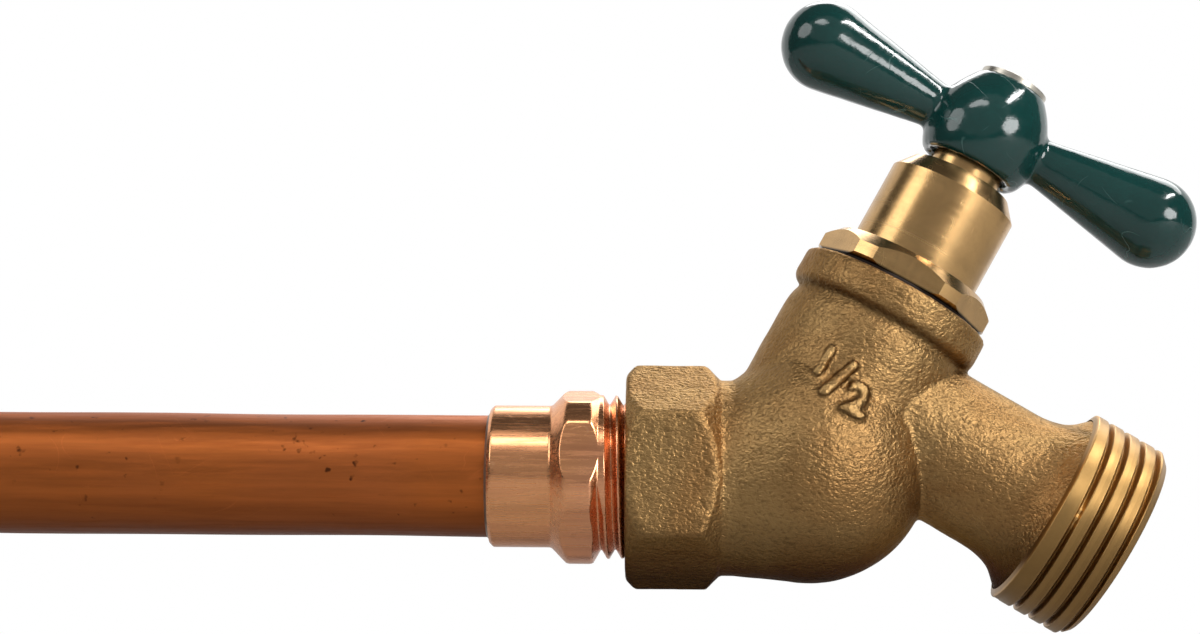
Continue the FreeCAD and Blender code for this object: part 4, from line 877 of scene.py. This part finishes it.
class BIBB_OT_handle(bpy.types.Operator):
    """Build the dipped handle"""
    bl_idname = "bibb.handle"
    bl_label = "Handle"

    def execute(self, context):
        settings = context.scene.bibb_handle
        vertices, faces = handle_form()
        handle = new_piece("dipped_handle", vertices, faces, MATERIALS["green_coating"], "spindle")
        remeshed(handle, settings.voxel, settings.soften)
        uneven(handle, "dip_waves", 5.0 * MM, 0.10 * MM)
        settle(handle)
        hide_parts("handle_coat")
        return {"FINISHED"}


class BIBB_OT_adapter(bpy.types.Operator):
    """Build the copper adapter"""
    bl_idname = "bibb.adapter"
    bl_label = "Adapter"

    def execute(self, context):
        vertices, faces = adapter_form()
        adapter = new_piece("sweat_adapter", vertices, faces, MATERIALS["bright_copper"], "valve")
        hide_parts("copper_adapter")
        return {"FINISHED"}


class BIBB_OT_pipe(bpy.types.Operator):
    """Build the copper supply pipe"""
    bl_idname = "bibb.pipe"
    bl_label = "Supply pipe"

    def execute(self, context):
        vertices, faces = pipe_form()
        pipe = new_piece("drawn_pipe", vertices, faces, MATERIALS["aged_copper"], "valve")
        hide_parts("supply_pipe")
        return {"FINISHED"}


def softbox(name, place, target, size, power):
    """Oval area lamp at a place, facing a target."""
    lamp = bpy.data.lights.new(name, "AREA")
    lamp.shape = "ELLIPSE"
    lamp.size, lamp.size_y = size
    lamp.energy = power
    stand = bpy.data.objects.new(name, lamp)
    stand.location = place
    aim = np.asarray(target) - np.asarray(place)
    yaw = math.atan2(aim[0], -aim[1])
    pitch = math.atan2(math.hypot(aim[0], aim[1]), -aim[2])
    stand.rotation_euler = Euler((pitch, 0.0, yaw + math.pi))
    bpy.context.scene.collection.objects.link(stand)


def stage_sheet(name, corners, material):
    """Flat sheet through four corners that belongs to the stage and not to the part."""
    mesh = bpy.data.meshes.new(name)
    mesh.from_pydata(corners, [], [(0, 2, 3, 1)])
    mesh.materials.append(material)
    sheet = bpy.data.objects.new(name, mesh)
    bpy.context.scene.collection.objects.link(sheet)


# Lamps: name, place in metres, size, and share of the key light's power.
LAMPS = (
    ("key", (0.66, -0.62, 0.20), (0.46, 0.36), 0.44),
    ("left", (-0.56, -0.30, 0.46), (0.50, 0.50), 0.20),
    ("top", (0.58, -0.20, 0.62), (0.46, 0.08), 0.26),
    ("back", (0.36, 0.44, 0.58), (0.90, 0.36), 0.34),
    ("strip", (-0.03, -0.36, 0.56), (0.34, 0.14), 0.07),
    ("front", (0.02, -0.80, 0.58), (1.8, 1.4), 0.17),
)
LAMP_TARGET = (0.10, 0.0, 0.02)


class BIBB_OT_stage(bpy.types.Operator):
    """Build the floor, the backdrop, the lights and the camera"""
    bl_idname = "bibb.stage"
    bl_label = "Stage"

    def execute(self, context):
        scene = context.scene
        settings = scene.bibb_stage
        material, tree, surface = new_material("floor_paint", 0.0, 0.75)
        where = put(tree, "ShaderNodeTexCoord").outputs["Object"]
        tone = ramp(tree, noise(tree, where, 6.0, 2.0), 0.3, 0.7, 0.97, 1.0)
        tree.links.new(mix(tree, tone, (0.7, 0.7, 0.7), settings.floor),
                       surface.inputs["Base Color"])
        stage_sheet("floor", [(x, y, -0.035) for x in (-0.9, 1.1) for y in (-1.1, 0.34)],
                    material)

        backdrop, tree, surface = new_material("backdrop_white", 0.0, 1.0)
        surface.inputs["Base Color"].default_value = (0.8, 0.8, 0.8, 1.0)
        path = put(tree, "ShaderNodeLightPath")
        shown = maths(tree, "MAXIMUM", path.outputs["Is Camera Ray"],
                      maths(tree, "MAXIMUM", path.outputs["Is Glossy Ray"],
                            path.outputs["Is Transmission Ray"]))
        glow = put(tree, "ShaderNodeEmission", {"Color": (1, 1, 1, 1), "Strength": 1.0})
        blend = put(tree, "ShaderNodeMixShader",
                    {0: shown, 1: surface.outputs[0], 2: glow.outputs[0]})
        tree.links.new(blend.outputs[0], tree.nodes["Material Output"].inputs["Surface"])
        stage_sheet("backdrop", [(x, 0.8, z) for x in (-1.6, 1.8) for z in (-0.9, 1.3)],
                    backdrop)

        world = bpy.data.worlds.new("room")
        world.use_nodes = True
        level = settings.ambient
        world.node_tree.nodes["Background"].inputs[0].default_value = (level, level, level, 1.0)
        scene.world = world

        for name, place, size, share in LAMPS:
            softbox(name, place, LAMP_TARGET, size, settings.key * share)

        camera = bpy.data.cameras.new("camera")
        camera.sensor_width = 36.0
        camera.lens = 64.5
        stand = bpy.data.objects.new("camera", camera)
        stand.location = (0.0894637, -0.2791970, -0.0105220)
        stand.rotation_euler = Euler([math.radians(turn) for turn in (96.4082, -0.4998, 1.5886)])
        scene.collection.objects.link(stand)
        scene.camera = stand
        scene.view_settings.view_transform = "Standard"
        return {"FINISHED"}


OPERATORS = (BIBB_OT_materials, BIBB_OT_casting, BIBB_OT_hose_thread, BIBB_OT_handle,
             BIBB_OT_adapter, BIBB_OT_pipe, BIBB_OT_stage)
GROUPS = {"bibb_casting": BIBB_PG_casting, "bibb_metal": BIBB_PG_metal,
          "bibb_handle": BIBB_PG_handle, "bibb_stage": BIBB_PG_stage}


class BIBB_PT_panel(bpy.types.Panel):
    """Lists the sizes, the colours and the pieces."""
    bl_idname = "BIBB_PT_panel"
    bl_label = "Hose bibb"
    bl_space_type = "VIEW_3D"
    bl_region_type = "UI"
    bl_category = "Hose bibb"

    def draw(self, context):
        for name, group in GROUPS.items():
            box = self.layout.box()
            for field in group.__annotations__:
                box.prop(getattr(context.scene, name), field)
        for operator in OPERATORS:
            self.layout.operator(operator.bl_idname)


def register():
    for name, group in GROUPS.items():
        bpy.utils.register_class(group)
        setattr(bpy.types.Scene, name, PointerProperty(type=group))
    for operator in (*OPERATORS, BIBB_PT_panel):
        bpy.utils.register_class(operator)


def unregister():
    for operator in (BIBB_PT_panel, *reversed(OPERATORS)):
        bpy.utils.unregister_class(operator)
    for name, group in reversed(GROUPS.items()):
        delattr(bpy.types.Scene, name)
        bpy.utils.unregister_class(group)


def main():
    register()
    for operator in OPERATORS:
        space, name = operator.bl_idname.split(".")
        getattr(getattr(bpy.ops, space), name)()


if __name__ == "__main__":
    main()
